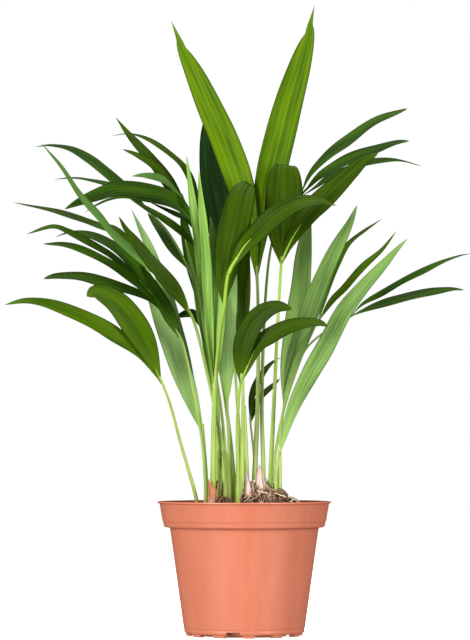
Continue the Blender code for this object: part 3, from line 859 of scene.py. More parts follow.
@dataclass(frozen=True)
class Pot:
    """The nursery pot: a turned shell with a banded rim, feet and drain slots."""

    lip: float                 # outer radius of the lip
    height: float              # from the feet to the lip
    floor: float = 3.4         # height of the floor's top
    boss: float = 29.8         # radius of the disc under the middle, which reaches the ground
    recess: float = 2.1        # how far the ring round that disc is raised
    foot_radius: float = 42.6  # of the wall's outside, at its foot
    band_radius: float = 58.0  # of the rim band's outside, above its foot line
    band_foot: float = 76.4    # height of the rim band's underside
    ledge: float = 16.8        # from the lip down to the ledge inside the rim
    steps: int = 160
    corner: float = 0.35       # radius on the moulded corners
    block_corner: float = 0.3  # and on those of the feet and slots
    bend: float = 14.0         # degrees past which a ring of the profile is rounded
    crease: float = 38.0       # degrees past which an edge looks sharp
    feet: int = 12
    first_foot: float = 4.5    # degrees from the front, toward +X
    foot: Point = (9.5, 5.0, 2.7)
    foot_ring: float = 38.9    # radius of the feet's middles
    foot_draft: float = 0.80   # how much narrower a foot is where it stands
    slots: int = 4
    first_slot: float = -10.8
    slot: Point = (10.0, 9.0, 2.6)
    slot_ring: float = 39.5
    slot_bottom: float = 1.5

    def profile(self) -> list[tuple[float, float]]:
        """Draw half of the pot's section.

        Returns:
            Radius and height, up the inside, over the lip, down the outside and under.
        """
        top, lip, foot, under = self.height, self.lip, self.foot_radius, self.band_foot
        inside = [(0.0, self.floor), (foot - 2.2, self.floor), (foot - 1.3, self.floor + 1.2),
                  (51.4, top - self.ledge - 1.0), (55.6, top - self.ledge),
                  (lip - 2.7, top - 1.8), (lip - 2.1, top)]
        rim = [(lip, top), (lip, top - 1.2), (lip - 1.4, top - 1.6),
               (self.band_radius, under + 4.8), (self.band_radius - 0.5, under + 4.2),
               (self.band_radius - 1.0, under + 1.2), (self.band_radius - 1.8, under + 0.4),
               (53.0, under)]
        wall = [(52.6, under - 0.8), (foot + 0.4, 6.0), (foot, 5.4), (foot, self.floor),
                (foot - 0.6, self.recess)]
        base = [(self.boss + 1.2, self.recess), (self.boss, 0.0), (0.0, 0.0)]
        return inside + rim + wall + base

    def shell(self) -> bpy.types.Object:
        """Spin the profile and round its corners.

        Returns:
            The shell, still without feet and slots.
        """
        piece = Piece("pot_shell", [POT_PLASTIC.material()])
        bm = piece.bm
        piece.turned(self.profile(), self.steps)
        sharp = [e for e in bm.edges if abs(e.verts[0].co.z - e.verts[1].co.z) < WELD
                 and e.is_manifold and e.calc_face_angle() > math.radians(self.bend)]
        bmesh.ops.bevel(bm, geom=sharp, offset=self.corner * MM, offset_type="OFFSET",
                        segments=3, profile=0.5, affect="EDGES", clamp_overlap=True, material=-1)
        return piece.finish()

    def blocks(self, name: str, count: int, first: float, size: Point, radius: float,
               bottom: float, draft: float) -> bpy.types.Object:
        """Make a ring of blocks to join to the shell or cut from it.

        Args:
            name: The object's name.
            count: How many blocks.
            first: Where the first one is, in degrees from the front toward +X.
            size: Size along the rim, across it and high.
            radius: Radius of the blocks' middles.
            bottom: Height of their underside.
            draft: How much narrower the underside is.

        Returns:
            The blocks as one object.
        """
        piece = Piece(name, [POT_PLASTIC.material()])
        for i in range(count):
            verts = bmesh.ops.create_cube(piece.bm, size=1.0)["verts"]
            low = [v for v in verts if v.co.z < 0]
            bmesh.ops.scale(piece.bm, vec=(draft, draft, 1.0), verts=low)
            bmesh.ops.scale(piece.bm, vec=Vector(size) * MM, verts=verts)
            angle = math.radians(first + i * 360 / count)
            edges = list({e for v in verts for e in v.link_edges})
            made = bmesh.ops.bevel(piece.bm, geom=edges, offset=self.block_corner * MM,
                                   segments=2, profile=0.5, affect="EDGES",
                                   clamp_overlap=True, material=-1)
            verts = [v for v in made["verts"] if v.is_valid]
            middle = Vector((math.sin(angle) * radius, -math.cos(angle) * radius,
                             bottom + size[2] / 2))
            bmesh.ops.rotate(piece.bm, cent=(0, 0, 0), verts=verts,
                             matrix=Matrix.Rotation(angle, 3, "Z"))
            bmesh.ops.translate(piece.bm, vec=middle * MM, verts=verts)
        return piece.finish(smooth=False)

    def build(self) -> None:
        """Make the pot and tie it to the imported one."""
        pot = self.shell()
        feet = self.blocks("pot_feet", self.feet, self.first_foot, self.foot, self.foot_ring,
                           0.0, self.foot_draft)
        slots = self.blocks("pot_slots", self.slots, self.first_slot, self.slot, self.slot_ring,
                            self.slot_bottom, 1.0)
        for tool, operation in ((feet, "UNION"), (slots, "DIFFERENCE")):
            step = pot.modifiers.new(operation.lower(), "BOOLEAN")
            step.operation = operation
            step.solver = "EXACT"
            step.object = tool
            baked(pot)
            bpy.data.objects.remove(tool, do_unlink=True)
        pot.data.set_sharp_from_angle(angle=math.radians(self.crease))
        stand_in_for(pot, "pot_plastic", "pot")


# ------------------------------------------------------------------ potting mix and roots

@dataclass(frozen=True)
class PottingMix:
    """The block of potting mix: smooth where the pot moulded it, crumbly on top."""

    surface: float             # height of its top at the middle
    radius: float              # of its top
    seed: int = 11
    crumbs: int = 620
    steps: int = 96
    ring_step: float = 2.4     # between the rings of the top
    drop: float = 1.6          # how much lower the top is at its edge than at its middle
    swell: float = 0.9         # how far the top rises and falls
    hummock: float = 4.0       # across one rise
    foot: float = 3.7          # height of the block's underside

    def top_at(self, reach: float) -> float:
        """Give the height of its top at a distance from the middle."""
        return self.surface - self.drop * (reach / self.radius) ** 2

    def build(self) -> None:
        """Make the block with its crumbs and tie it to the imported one."""
        piece = Piece("potting_mix_crumbly", [LOOSE_MIX.material()])
        radii = [i * self.ring_step for i in range(int((self.radius - 1.5) / self.ring_step))]
        rings = [(r, self.top_at(r)) for r in radii]
        sides = [(self.radius, self.surface - 2.0), (55.2, 78.5), (51.0, 77.6),
                 (41.0, self.foot + 1.3), (40.0, self.foot), (0.0, self.foot)]
        piece.turned(rings + sides, self.steps)
        for vert in piece.bm.verts:
            if vert.co.z > (self.surface - 1.9) * MM:
                vert.co.z += self.swell * MM * noise.noise(vert.co / (self.hummock * MM))
        draw = random.Random(self.seed)
        for _ in range(0, self.crumbs, BATCH):
            strewn = Piece("strewn", ())
            self._scatter(strewn, draw)
            piece.absorb(strewn)
        stand_in_for(piece.finish(), "potting_mix", "potting_mix")

    def _scatter(self, piece: Piece, draw: random.Random) -> None:
        """Strew one batch of crumbs and bits of bark over the top.

        Args:
            piece: The piece that they join.
            draw: The source of chance.
        """
        shade = piece.marks[SHADE]
        for _ in range(BATCH):
            angle = draw.uniform(0.0, math.tau)
            reach = (self.radius - 3.0) * math.sqrt(draw.random())
            size = draw.choice((0.6, 0.8, 1.1, 1.5, 2.1))
            verts = bmesh.ops.create_icosphere(piece.bm, subdivisions=1, radius=size * MM)["verts"]
            stretch = (draw.uniform(0.8, 1.9), draw.uniform(0.6, 1.1), draw.uniform(0.4, 0.8))
            bmesh.ops.scale(piece.bm, vec=stretch, verts=verts)
            turn = Euler((draw.uniform(-0.6, 0.6), draw.uniform(-0.6, 0.6), angle * 7))
            bmesh.ops.rotate(piece.bm, cent=(0, 0, 0), matrix=turn.to_matrix(), verts=verts)
            tone = draw.choice((-0.15, -0.1, 0.0, 0.05, 0.2))
            for vert in verts:
                vert[shade] = tone
                vert.co += vert.co.normalized() * draw.uniform(-0.2, 0.2) * MM
            place = Vector((math.cos(angle) * reach, math.sin(angle) * reach,
                            self.top_at(reach) + size * 0.15))
            bmesh.ops.translate(piece.bm, vec=place * MM, verts=verts)


@dataclass(frozen=True)
class Lump:
    """One rounded mass of roots."""

    centre: Point
    radii: Point

    def point(self, toward: Vector, lift: float = 0.0) -> Vector:
        """Give the surface point that lies in a direction, raised by a part of the radius."""
        return Vector(c + r * d * (1.0 + lift)
                      for c, r, d in zip(self.centre, self.radii, toward))


@dataclass(frozen=True)
class RootMat:
    """Roots heaped above the mix: lumps under a tangle of fibres and a few stout roots."""

    node: str
    lumps: tuple[Lump, ...]
    floor: float               # height that no root goes under
    fibres: int
    stout: int
    seed: int
    tone: float = 0.0          # how much lighter or darker it is than the other mats

    ROUGH = 1.1                # height of the lumps' own bumps
    MARKS = 6                  # points along one root

    def build(self) -> None:
        """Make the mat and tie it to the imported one."""
        piece = Piece(self.node + "_matted", [ROOT_FIBRE.material()])
        for lump in self.lumps:
            self._mass(piece, lump)
        draw = random.Random(self.seed)
        total = self.fibres + self.stout
        for first in range(0, total, BATCH):
            tangle = Piece("tangle", ())
            for i in range(first, min(first + BATCH, total)):
                self._strand(tangle, draw, i >= self.fibres)
            piece.absorb(tangle)
        stand_in_for(piece.finish(), "roots", self.node)

    def _mass(self, piece: Piece, lump: Lump) -> None:
        """Lay one bumpy lump.

        Args:
            piece: The piece that it joins.
            lump: Its place and size.
        """
        verts = bmesh.ops.create_icosphere(piece.bm, subdivisions=4, radius=1.0)["verts"]
        for vert in verts:
            toward = vert.co.normalized()
            at = lump.point(toward)
            bump = noise.noise(at / 3.2) + 0.5 * noise.noise(at / 1.4)
            at += toward * self.ROUGH * (bump - 0.6)
            at.z = max(at.z, self.floor)
            # painted shade: the lumps are darker than the strands over them, partly the roots' own
            # dark brown, partly the deep shadow in the gaps between strands
            vert[piece.marks[SHADE]] = self.tone - 0.34 + 0.1 * bump
            vert.co = at * MM

    def _strand(self, piece: Piece, draw: random.Random, stout: bool) -> None:
        """Lay one root that wanders over a lump.

        Args:
            piece: The piece that it joins.
            draw: The source of chance.
            stout: True for one of the few thick pale roots.
        """
        lump = draw.choice(self.lumps)
        toward = Vector((draw.gauss(0, 1), draw.gauss(-0.5, 1), abs(draw.gauss(0.2, 0.8))))
        toward.normalize()
        heading = toward.cross(Vector((draw.gauss(0, 1), draw.gauss(0, 1), draw.gauss(0, 1))))
        heading.normalize()
        points = []
        stride = draw.uniform(0.16, 0.34)
        for i in range(self.MARKS):
            arc = math.sin(math.pi * i / (self.MARKS - 1))
            lift = 0.02 + 0.10 * arc * draw.uniform(0.2, 1.3)
            at = lump.point(toward, lift)
            at.z = max(at.z, self.floor + 0.4)
            points.append(tuple(at))
            toward = (toward + heading * stride).normalized()
            swerve = Vector((draw.gauss(0, 0.35), draw.gauss(0, 0.35), draw.gauss(-0.08, 0.35)))
            heading = heading + swerve
            heading = (heading - toward * heading.dot(toward)).normalized()
        thick = draw.uniform(0.5, 0.85) if stout else draw.uniform(0.12, 0.32)
        tone = self.tone + (draw.uniform(0.15, 0.4) if stout else draw.uniform(-0.2, 0.35))
        piece.tube(Path(points, rows=9), lambda t: thick * (1.0 - 0.7 * t), 5, shade=tone)


# ------------------------------------------------------------------ leaves

STALK, FACE, BACK = 0, 1, 2    # a leaf's material slots


@dataclass(frozen=True)
class Blade:
    """One leaflet or lobe, laid along its midrib."""

    points: Sequence[Point]    # the midrib
    width: float               # at its widest
    peak: float = 0.45         # where it is widest, as a fraction of its length
    blunt: float = 0.8         # under one for a rounded tip, over one for a drawn-out tip
    turn: tuple[float, float] = (0.0, 0.0)      # degrees it rolls, at the foot and at the tip
    fold: float = 0.10         # how far its margins stand up, as a part of the width
    foot: float = 0.9          # under one for a rounded foot, over one for a drawn-out foot
    whip: float = 0.0          # fraction of the length that is a thin tail
    lean: float = 0.0          # the tail's shoulder: plus on the right side, minus on the left
    dome: float = 0.0          # how far its margins lag behind the midrib at the tip
    rib: float = 0.35          # thickness of the raised midrib, as a part of the stalk's end
    painted_lift: float = 0.0        # painted light: how much lighter this blade is painted, against the shade that it lies in

    FOOT_WIDTH = 1.6
    TAIL_WIDTH = 4.2
    EDGE_WIDTH = 0.12          # nowhere narrower than this
    THICKNESS = 0.42
    RIB_RUN = 0.4              # fraction of the length that the raised midrib reaches
    PLEAT = 0.010              # height of the folds between the ribs, as a part of the width
    RIPPLE = 0.35              # how far the margins wave
    RIPPLE_RUN = 41            # from one wave to the next

    def width_at(self, t: float, hand: float) -> float:
        """Give the width from the midrib to one margin.

        Args:
            t: The fraction of the length.
            hand: Plus one for the right margin, minus one for the left.

        Returns:
            The width in millimetres.
        """
        early = self.whip * (1.0 + 0.9 * self.lean * hand)
        body = min(t / max(1 - early, 0.1), 1.0)
        if body < self.peak:
            form = math.sin(math.pi / 2 * body / self.peak) ** self.foot
        else:
            form = math.cos(math.pi / 2 * (body - self.peak) / (1 - self.peak)) ** self.blunt
        tail = self.TAIL_WIDTH * min(1.0, (1 - t) / self.whip) if self.whip and t > 0.5 else 0.0
        root = self.FOOT_WIDTH * max(0.0, 1 - 8 * t)
        return max(self.width * form, tail, root, self.EDGE_WIDTH) / 2

    def lay(self, piece: Piece, draw: random.Random, rib: float) -> None:
        """Lay the blade's two skins and its midrib.

        Args:
            piece: The leaf that it joins.
            draw: The source of chance.
            rib: The radius of the stalk's end.
        """
        path = Path(self.points, step=2.4)
        columns = 20 if self.width > 12 else 14
        phase = draw.uniform(0.0, math.tau)
        # a random tone, plus any painted lift against the blade's shade
        tone = draw.uniform(-0.10, 0.10) + self.painted_lift
        size = (self.width, path.length)
        verts = piece.sheet(columns, path.rows, self._skin(path, phase, False), size, FACE, tone)
        verts += piece.sheet(columns, path.rows, self._skin(path, phase, True), size, BACK, tone,
                             flipped=True)
        bmesh.ops.remove_doubles(piece.bm, verts=verts, dist=WELD)
        if self.rib:
            lower = Path([tuple(p) for p in path.samples[:2 + round(path.rows * self.RIB_RUN)]])
            piece.tube(lower, lambda t: rib * self.rib * (1 - t) + 0.02, 8, STALK)

    def _skin(self, path: Path, phase: float, lower: bool) -> Place:
        """Give the placing of one skin.

        Args:
            path: The midrib.
            phase: Where its margins' waves start.
            lower: True for the lower skin.

        Returns:
            A function from fractions across and along to a point.
        """
        start, end = [math.radians(a) for a in self.turn]

        def place(u: float, v: float) -> Vector:
            """Place the skin's surface.

            Args:
                u: The fraction of the width.
                v: The fraction of the length.

            Returns:
                The point in millimetres.
            """
            row = round(v * path.rows)
            t = row / path.rows
            s = 2 * u - 1
            centre, side, face = path.frame(t * (1 - self.dome * s * s * t * t),
                                            start + (end - start) * t)
            hand = math.copysign(1.0, s)
            half = self.width_at(t, hand)
            stand = 2 * half * self.fold * (1 - 0.55 * t) * (math.sqrt(s * s + 0.03) - 0.17)
            pleat = self.PLEAT * 2 * half * math.cos(5 * math.pi * s) * (1 - s ** 4)
            wave = self.RIPPLE * s * s * math.sin(math.tau * v * path.length / self.RIPPLE_RUN
                                                  + phase + hand)
            rise = stand + pleat + wave * min(1.0, half / 4)
            if row not in (0, path.rows):
                thick = self.THICKNESS * (1 - 0.5 * t) * (1 - s ** 4)
                rise += -thick / 2 if lower else thick / 2
            return centre + side * (s * half) + face * rise

        return place


@dataclass(frozen=True)
class Look:
    """The surfaces of one leaf."""

    face: Skin
    back: Skin
    stalk: Stalk


LOOKS = {
    "leaf_young": Look(Skin.YOUNG_BACKLIT, Skin.UNDER, Stalk.OLIVE_LIT),
    "leaf_mature": Look(Skin.MATURE, Skin.UNDER, Stalk.LIME),
    "leaf_dark": Look(Skin.DEEP_AND_SHADED, Skin.UNDER, Stalk.GREEN),
    "leaf_pale": Look(Skin.PALE, Skin.MATURE, Stalk.GREEN),
}


@dataclass(frozen=True)
class Leaf:
    """One palm leaf: a stalk with its blades."""

    node: str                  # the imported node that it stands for
    slot: str
    radius: tuple[float, float]                 # of the stalk, at the soil and at the top
    stalk: Sequence[Point]
    blades: Sequence[Blade]
    look: Optional[Look] = None                 # where it isn't its slot's usual one

    SLIM = 0.75                # the stalk's top, as a part of the radius given for it
    THINNING = 0.75            # under one where it thins most near the soil

    def build(self) -> None:
        """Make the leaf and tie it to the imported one."""
        look = self.look or LOOKS[self.slot]
        skins = [look.stalk, look.face, look.back]
        piece = Piece(self.node + "_grown", [skin.value.material() for skin in skins])
        low, high = self.radius
        top = self.SLIM * high
        piece.tube(Path(self.stalk), lambda t: low + (top - low) * t ** self.THINNING, 14, STALK,
                   groove=0.14)
        draw = random.Random(self.node)
        for blade in self.blades:
            blade.lay(piece, draw, high)
        stand_in_for(piece.finish(), self.slot, self.node)


LEAVES = (
    Leaf("leaf_tall", "leaf_young", (2.3, 1.3),
         [(7, 4, 82), (7.3, 4, 112), (9.5, 6, 166), (10, 7, 220), (9, 8, 262)],
         [Blade([(9, 8, 250), (5.5, 8, 281), (-3, 8, 320), (-13.5, 9, 350), (-24, 9, 374),
                 (-35, 10, 399), (-45, 11, 420), (-52, 12, 437)],
                20.5, 0.48, 0.46, foot=1.15, whip=0.085, lean=0.25, rib=0.0),
          Blade([(9, 8, 250), (12, 9, 290), (18.5, 11, 325), (26, 11, 357), (32.5, 11, 382),
                 (39, 10, 404), (45, 11, 426), (50, 12, 448)],
                22.0, 0.50, 0.42, foot=1.15, whip=0.085, lean=-0.25, rib=0.0)]),
    Leaf("leaf_shaded", "leaf_dark", (1.7, 1.1),
         [(-2, 10, 82), (-2.5, 11, 120), (-6, 16, 180), (-10, 19, 228)],
         [Blade([(-10, 19, 225), (-14, 22, 275), (-20, 25, 312), (-25, 28, 345), (-27, 30, 369)],
                20.0, 0.55, 0.5, (15, 15)),
          Blade([(-10, 19, 225), (-7, 28, 258), (-4, 38, 282), (-1, 49, 295), (2, 60, 298)],
                14.0, 0.5, 0.7, (0, 50))],
         Look(Skin.SHADED, Skin.DEEP_AND_SHADED, Stalk.GREEN)),
    Leaf("leaf_centre", "leaf_mature", (2.5, 1.3),
         [(-22, -14, 82), (-22, -15, 112), (-21, -18, 167), (-17.5, -22, 210),
          (-14.5, -26, 230), (-11.5, -31, 254), (-5, -33, 266)],
         [Blade([(-14.5, -24, 232), (-13.5, -26, 252), (-10.5, -28, 270), (-7.5, -28, 287),
                 (-4, -26, 302), (-0.5, -21, 312.5), (3.5, -14, 319), (5.5, -7, 316)],
                22.5, 0.50, 0.30, fold=-0.04, dome=0.08, rib=0.0),
          Blade([(-11.5, -31, 254), (-5, -32.5, 266), (1, -33, 275), (11, -32, 285),
                 (23, -34, 296), (36, -36, 303), (50, -37, 305.5), (64, -38, 302)],
                17.0, 0.50, 0.9, (15, 45), foot=1.1, rib=0.9)]),
    Leaf("leaf_narrow", "leaf_pale", (1.8, 1.3),
         [(-19, -3, 82), (-19, -3, 120), (-21, -5, 150), (-22, -8, 178)],
         [Blade([(-22, -7.6, 172), (-23, -11, 195), (-24.5, -13, 218), (-25.5, -15, 240),
                 (-26.5, -17, 262), (-28, -18, 284), (-30.5, -18, 307), (-32, -18, 328)], 9.5,
                0.5, 0.7, (30, 35)),
          Blade([(-22, -7.6, 172), (-25.5, -9, 205), (-28, -9, 232), (-30.5, -9, 258),
                 (-33.5, -8, 284), (-37, -8, 309), (-39.5, -8, 328), (-41, -8, 340)], 8.5, 0.55,
                0.7, (-30, -35)),
          Blade([(-22, -7.6, 172), (-20, -12, 205), (-19, -13, 232), (-20, -12, 258),
                 (-22, -11, 280), (-24, -10, 296)],
                13.5, turn=(20, 20)),
          Blade([(-22, -7.6, 172), (-29, -5, 215), (-35, -4, 250), (-42, -3, 281)],
                8.0, turn=(-45, -45))],
         Look(Skin.BRIGHT, Skin.MATURE, Stalk.LIME)),
    Leaf("leaf_right", "leaf_mature", (2.0, 1.2),
         [(18.5, -3, 82), (18.5, -4, 112), (20, -5, 145), (22, -6, 188), (23.5, -7, 220),
          (25.5, -8, 255), (26.5, -9, 268)],
         [Blade([(26, -8.6, 262), (27, -9, 284), (28, -9, 303), (28.5, -7, 320), (29, -1.5, 333),
                 (29.5, 5.5, 330)],
                27.0, 0.50, 0.28, fold=0.04, dome=0.07, rib=0.0),
          Blade([(26, -8.6, 264), (34, -11, 281), (45, -12, 297), (57, -13, 309),
                 (68, -14, 319.5), (77, -14, 328), (85, -15, 335.5), (94, -16, 340)],
                18.0, 0.50, 0.6, (20, 45), foot=1.0, rib=0.9)]),
    Leaf("frond_right_upper", "leaf_dark", (1.9, 0.9),
         [(13.5, 7, 82), (13.5, 7, 120), (12.5, 9, 167), (15, 11, 238), (20, 13, 280),
          (30, 16, 300), (42, 19, 315), (48, 21, 321)],
         [Blade([(40, 18, 313), (47, 22, 328), (58, 26, 340), (73, 32, 352), (87, 37, 363),
                 (99, 42, 370), (118, 50, 378)],
                11.0, 0.52, 0.45, (30, 45), foot=1.3, rib=0.0),
          Blade([(40, 18, 312), (53, 17, 326), (64, 18, 333), (77, 19, 339.5), (93, 20, 345.5),
                 (108, 20, 350.5), (118, 20, 352)],
                11.5, 0.52, 0.6, (35, 50), foot=1.3, rib=0.0),
          Blade([(39, 18, 311), (51, 25, 319), (62, 31, 327), (73, 37, 332), (89, 45, 338),
                 (109, 53, 341), (129, 60, 337)],
                9.5, 0.5, 0.8, (45, 50), foot=1.3, rib=0.0),
          Blade([(34, 17, 305), (44, 27, 310), (60, 40, 316)],
                8.0, turn=(50, 50))]),
    Leaf("leaf_right_upright", "leaf_pale", (1.6, 1.1),
         [(24.5, 6, 82), (24.5, 6, 112), (26, 4, 140), (28.5, 3, 166)],
         [Blade([(28, 3.2, 158), (32, 2, 185), (38.5, 1, 208), (46, 0, 229), (53.5, -1, 249),
                 (60.5, -1, 265), (68, 0, 280), (75, 1, 293), (80, 2, 305)],
                15.0, 0.48, 0.7, (-25, -25)),
          Blade([(28, 3.2, 160), (31, 8, 192), (36.5, 11, 222), (40.5, 12, 247), (42.5, 12, 270),
                 (44.5, 12, 288), (47, 12, 303)],
                # painted light: this lobe is painted lighter, against the shade it lies in
                16.5, 0.5, 0.6, (28, 28), painted_lift=0.2)],
         Look(Skin.GLAUCOUS, Skin.MATURE, Stalk.GREEN)),
    Leaf("frond_right_slim", "leaf_mature", (1.4, 0.8),
         [(20.5, 13, 82), (20.5, 13, 115), (27, 12, 155), (38, 12, 190), (49, 13, 216),
          (56, 14, 229)],
         [Blade([(53, 13.5, 223), (63, 16, 238), (72, 18, 247), (86, 22, 263), (99, 26, 275),
                 (109, 30, 288)],
                8.0, 0.4, 0.8, (42, 50)),
          Blade([(53, 13.5, 224), (60, 18, 247), (66, 22, 264), (74, 28, 278), (87, 36, 289),
                 (99.5, 44, 298)],
                8.0, 0.45, 0.8, (42, 50)),
          Blade([(46, 12.6, 209), (52, 22, 232), (60, 36, 252), (66, 54, 262)],
                9.0, turn=(50, 50))],
         Look(Skin.FRESH, Skin.UNDER, Stalk.GREEN)),
    Leaf("leaf_right_broad", "leaf_pale", (1.7, 1.3),
         [(22.5, -9.5, 82), (22.5, -9.5, 112), (25, -11, 134)],
         [Blade([(24.6, -11, 128), (34, -16, 160), (46, -22, 184.5), (57, -28, 204),
                 (69.5, -34, 228), (81, -39, 243), (94.5, -44, 258), (107, -49, 272),
                 (113, -53, 278)],
                13.4, 0.45, 0.75, (5, 25))],
         Look(Skin.GLAUCOUS, Skin.MATURE, Stalk.GREEN)),
    Leaf("frond_right_low", "leaf_dark", (1.3, 0.9),
         [(25.5, -1.5, 82), (25.5, -1.5, 112), (26, -2, 150), (33.5, -3, 180), (43, -5, 202),
          (57, -7, 215), (70, -9, 223), (78, -10, 227)],
         [Blade([(75, -9.7, 225.5), (83.5, -12, 234), (96, -15, 241), (110, -19, 249),
                 (124, -22, 256), (138, -25, 263), (151, -27, 267.5), (158.5, -28, 269)],
                9.0, turn=(58, 66)),
          Blade([(75, -9.7, 225.5), (84, -7, 229.5), (104, -3, 236.5), (126.5, 2, 242),
                 (146, 6, 245.5), (156.5, 8, 245)],
                10.0, 0.5, 0.6, (45, 50))]),
    Leaf("leaf_front_small", "leaf_mature", (2.0, 1.2),
         [(-4.5, -19, 82), (-4.5, -20, 112), (-5, -25, 146), (-4, -31, 167), (-2, -36, 185)],
         [Blade([(-3, -35, 178), (-1.5, -38, 200), (3, -41, 214), (11, -44, 225.5),
                 (22, -47, 231), (33, -50, 229.5)],
                15.5, 0.45, 0.6, (0, 30), rib=0.0),
          Blade([(-3, -35, 178), (8, -39, 202.5), (18.5, -42, 211), (30.5, -45, 217),
                 (42, -48, 219.5), (52.5, -51, 219.5), (57.5, -53, 217)],
                13.0, 0.5, 0.6, (20, 50), rib=0.8)]),
    Leaf("leaf_back_small", "leaf_dark", (1.3, 0.9),
         [(8, 17, 82), (8, 17, 115), (4, 22, 155)],
         [Blade([(4.4, 21.6, 150), (6, 24, 170), (12.5, 28, 185), (20, 34, 194), (27, 42, 198)],
                7.0, turn=(40, 40)),
          Blade([(4.4, 21.6, 150), (9, 27, 165), (17, 36, 174), (26, 48, 183)],
                8.0, turn=(40, 40))],
         Look(Skin.MATURE, Skin.UNDER, Stalk.GREEN)),
    Leaf("leaf_inner_pale", "leaf_pale", (1.9, 1.3),
         [(-10, 3, 82), (-10, 3, 112), (-12, 0, 160), (-12.2, -1.5, 172)],
         [Blade([(-12, -0.5, 164), (-12, -6, 195), (-11, -10, 224), (-9, -13, 246),
                 (-6, -14, 268)],
                13.5, turn=(-25, -25))]),
    Leaf("leaf_inner_green", "leaf_mature", (2.2, 1.2),
         [(-1.5, -6, 82), (-1.5, -6, 115), (-1, -6, 170), (-2, -7, 208)],
         [Blade([(-1.9, -6.8, 200), (-1.5, -10, 234), (0, -13, 262), (4, -15, 284)],
                12.5, turn=(20, 20)),
          Blade([(-1.9, -6.8, 200), (-6, 0, 222), (-10, 6, 240)], 5.5)]),
    Leaf("frond_left_main", "leaf_mature", (2.1, 0.9),
         [(-13, -8, 82), (-13, -9, 112), (-16, -11, 136), (-22, -13.5, 167), (-34.5, -23, 219),
          (-45, -30, 237), (-59, -37, 254.5), (-80, -43, 274)],
         [Blade([(-38, -25.5, 226), (-47, -34, 241), (-58, -42, 254), (-68, -46, 266),
                 (-80, -50, 280)],
                11.5, 0.4, 0.7, (-30, -30)),
          Blade([(-50, -32.7, 243.6), (-66, -45, 259), (-90, -54, 281), (-100, -57, 293),
                 (-114, -60, 309), (-127, -63, 328), (-140.5, -66, 343.5)],
                9.0, 0.35, 0.8, (130, 130)),
          Blade([(-62, -38, 257.6), (-78, -39, 274), (-90, -40, 284), (-100.5, -42, 287),
                 (-115, -45, 292.5), (-135, -50, 298), (-160, -56, 303)],
                9.0, 0.35, 0.8, (-52, -60)),
          Blade([(-59, -37, 254.5), (-70, -35, 270), (-77, -34, 279), (-83, -33, 286),
                 (-88, -32, 295)],
                8.5, 0.4, 0.8, (-45, -45))],
         Look(Skin.MATURE, Skin.UNDER, Stalk.GREEN)),
    Leaf("frond_left_lower", "leaf_dark", (1.6, 0.8),
         [(-27.5, -8, 82), (-27.5, -8, 112), (-31.5, -9, 150), (-42, -12, 202),
          (-49, -15, 217), (-60, -19, 234), (-74, -22, 251)],
         [Blade([(-68, -20.8, 244), (-80, -25, 256), (-94, -29, 267.5), (-108, -34, 276),
                 (-122, -38, 283), (-134, -42, 287), (-151.5, -47, 281.5)],
                9.0, turn=(-55, -62)),
          Blade([(-58, -18.4, 231), (-70, -19, 252), (-80, -18, 264), (-94, -15, 276),
                 (-109, -11, 283), (-123, -7, 285), (-134, -4, 282)],
                10.5, 0.35, 0.7, (-35, -45)),
          Blade([(-57, -18.2, 229.6), (-70, -28, 243), (-83.5, -34, 254), (-97, -39, 263),
                 (-111, -43, 270), (-125, -47, 274), (-140, -52, 274.5)],
                9.0, 0.5, 0.6, (-50, -60)),
          Blade([(-52, -16.2, 222), (-64, -17, 236), (-79, -17, 243), (-100, -16, 249.5),
                 (-116, -15, 253.5), (-132, -14, 254), (-141.5, -14, 252)],
                10.0, 0.60, 0.5, (-35, -45)),
          Blade([(-46, -13.7, 211), (-56, -20, 232), (-66, -27, 250), (-74, -34, 262)],
                10.0, 0.35, 0.8, (-20, -20))]),
    Leaf("leaf_left_low", "leaf_young", (1.5, 1.1),
         [(-33.5, -5, 82), (-34, -6, 97), (-40.5, -10, 121), (-45.5, -14, 138.5),
          (-52, -18, 163), (-59.5, -22, 183)],
         [Blade([(-58, -21, 178), (-73, -26, 199), (-94, -32, 214), (-114.5, -38, 225),
                 (-135, -45, 232.5), (-151.5, -52, 235), (-166, -59, 232)],
                12.8, 0.42, 0.8, (-25, -55), foot=1.1, rib=0.0),
          Blade([(-58, -21, 178), (-69.5, -27, 206), (-80.5, -31, 224), (-91, -35, 236),
                 (-103.5, -39, 242), (-110, -42, 238.5)],
                18.8, 0.50, 0.5, (0, -20), foot=1.1)],
         Look(Skin.FRESH, Skin.UNDER, Stalk.LIME)),
    Leaf("leaf_left_broad", "leaf_pale", (1.7, 1.2),
         [(-27, 1, 82), (-27, 1, 112), (-29.5, 0, 150)],
         [Blade([(-29, 0.2, 142), (-38.5, -1, 170.5), (-47, -2, 195), (-56, -3, 220),
                 (-65, -3, 245), (-73, -3, 262), (-79.5, -3, 276)],
                # painted light: this blade is painted lighter, against the shade it lies in
                15.4, 0.42, 0.8, (180, 155), painted_lift=0.3),
          Blade([(-29, 0.2, 142), (-39, 5, 185), (-50, 9, 225), (-60, 13, 255), (-68, 15, 276),
                 (-74, 17, 289), (-80.5, 19, 303)],
                9.5, 0.6, 0.8, (200, 215))],
         Look(Skin.MATURE, Skin.PALE, Stalk.GREEN)),
    Leaf("frond_left_arching", "leaf_dark", (1.7, 1.0),
         [(-18, 9, 82), (-18, 9, 112), (-19, 8, 170), (-25, 6, 240), (-30, 5, 278),
          (-37, 3, 299)],
         [Blade([(-35.6, 3.4, 295), (-43, 0, 305), (-54, -4, 311.5), (-73, -10, 314.5),
                 (-90, -15, 315), (-104, -20, 310.5), (-117.5, -25, 304.5), (-126, -28, 300)],
                12.5, 0.5, 0.7, (-30, -48)),
          Blade([(-34.6, 3.6, 292), (-46, 10, 302), (-60, 14, 308), (-82, 19, 312),
                 (-96, 24, 310.5), (-107, 28, 306), (-115, 32, 301)],
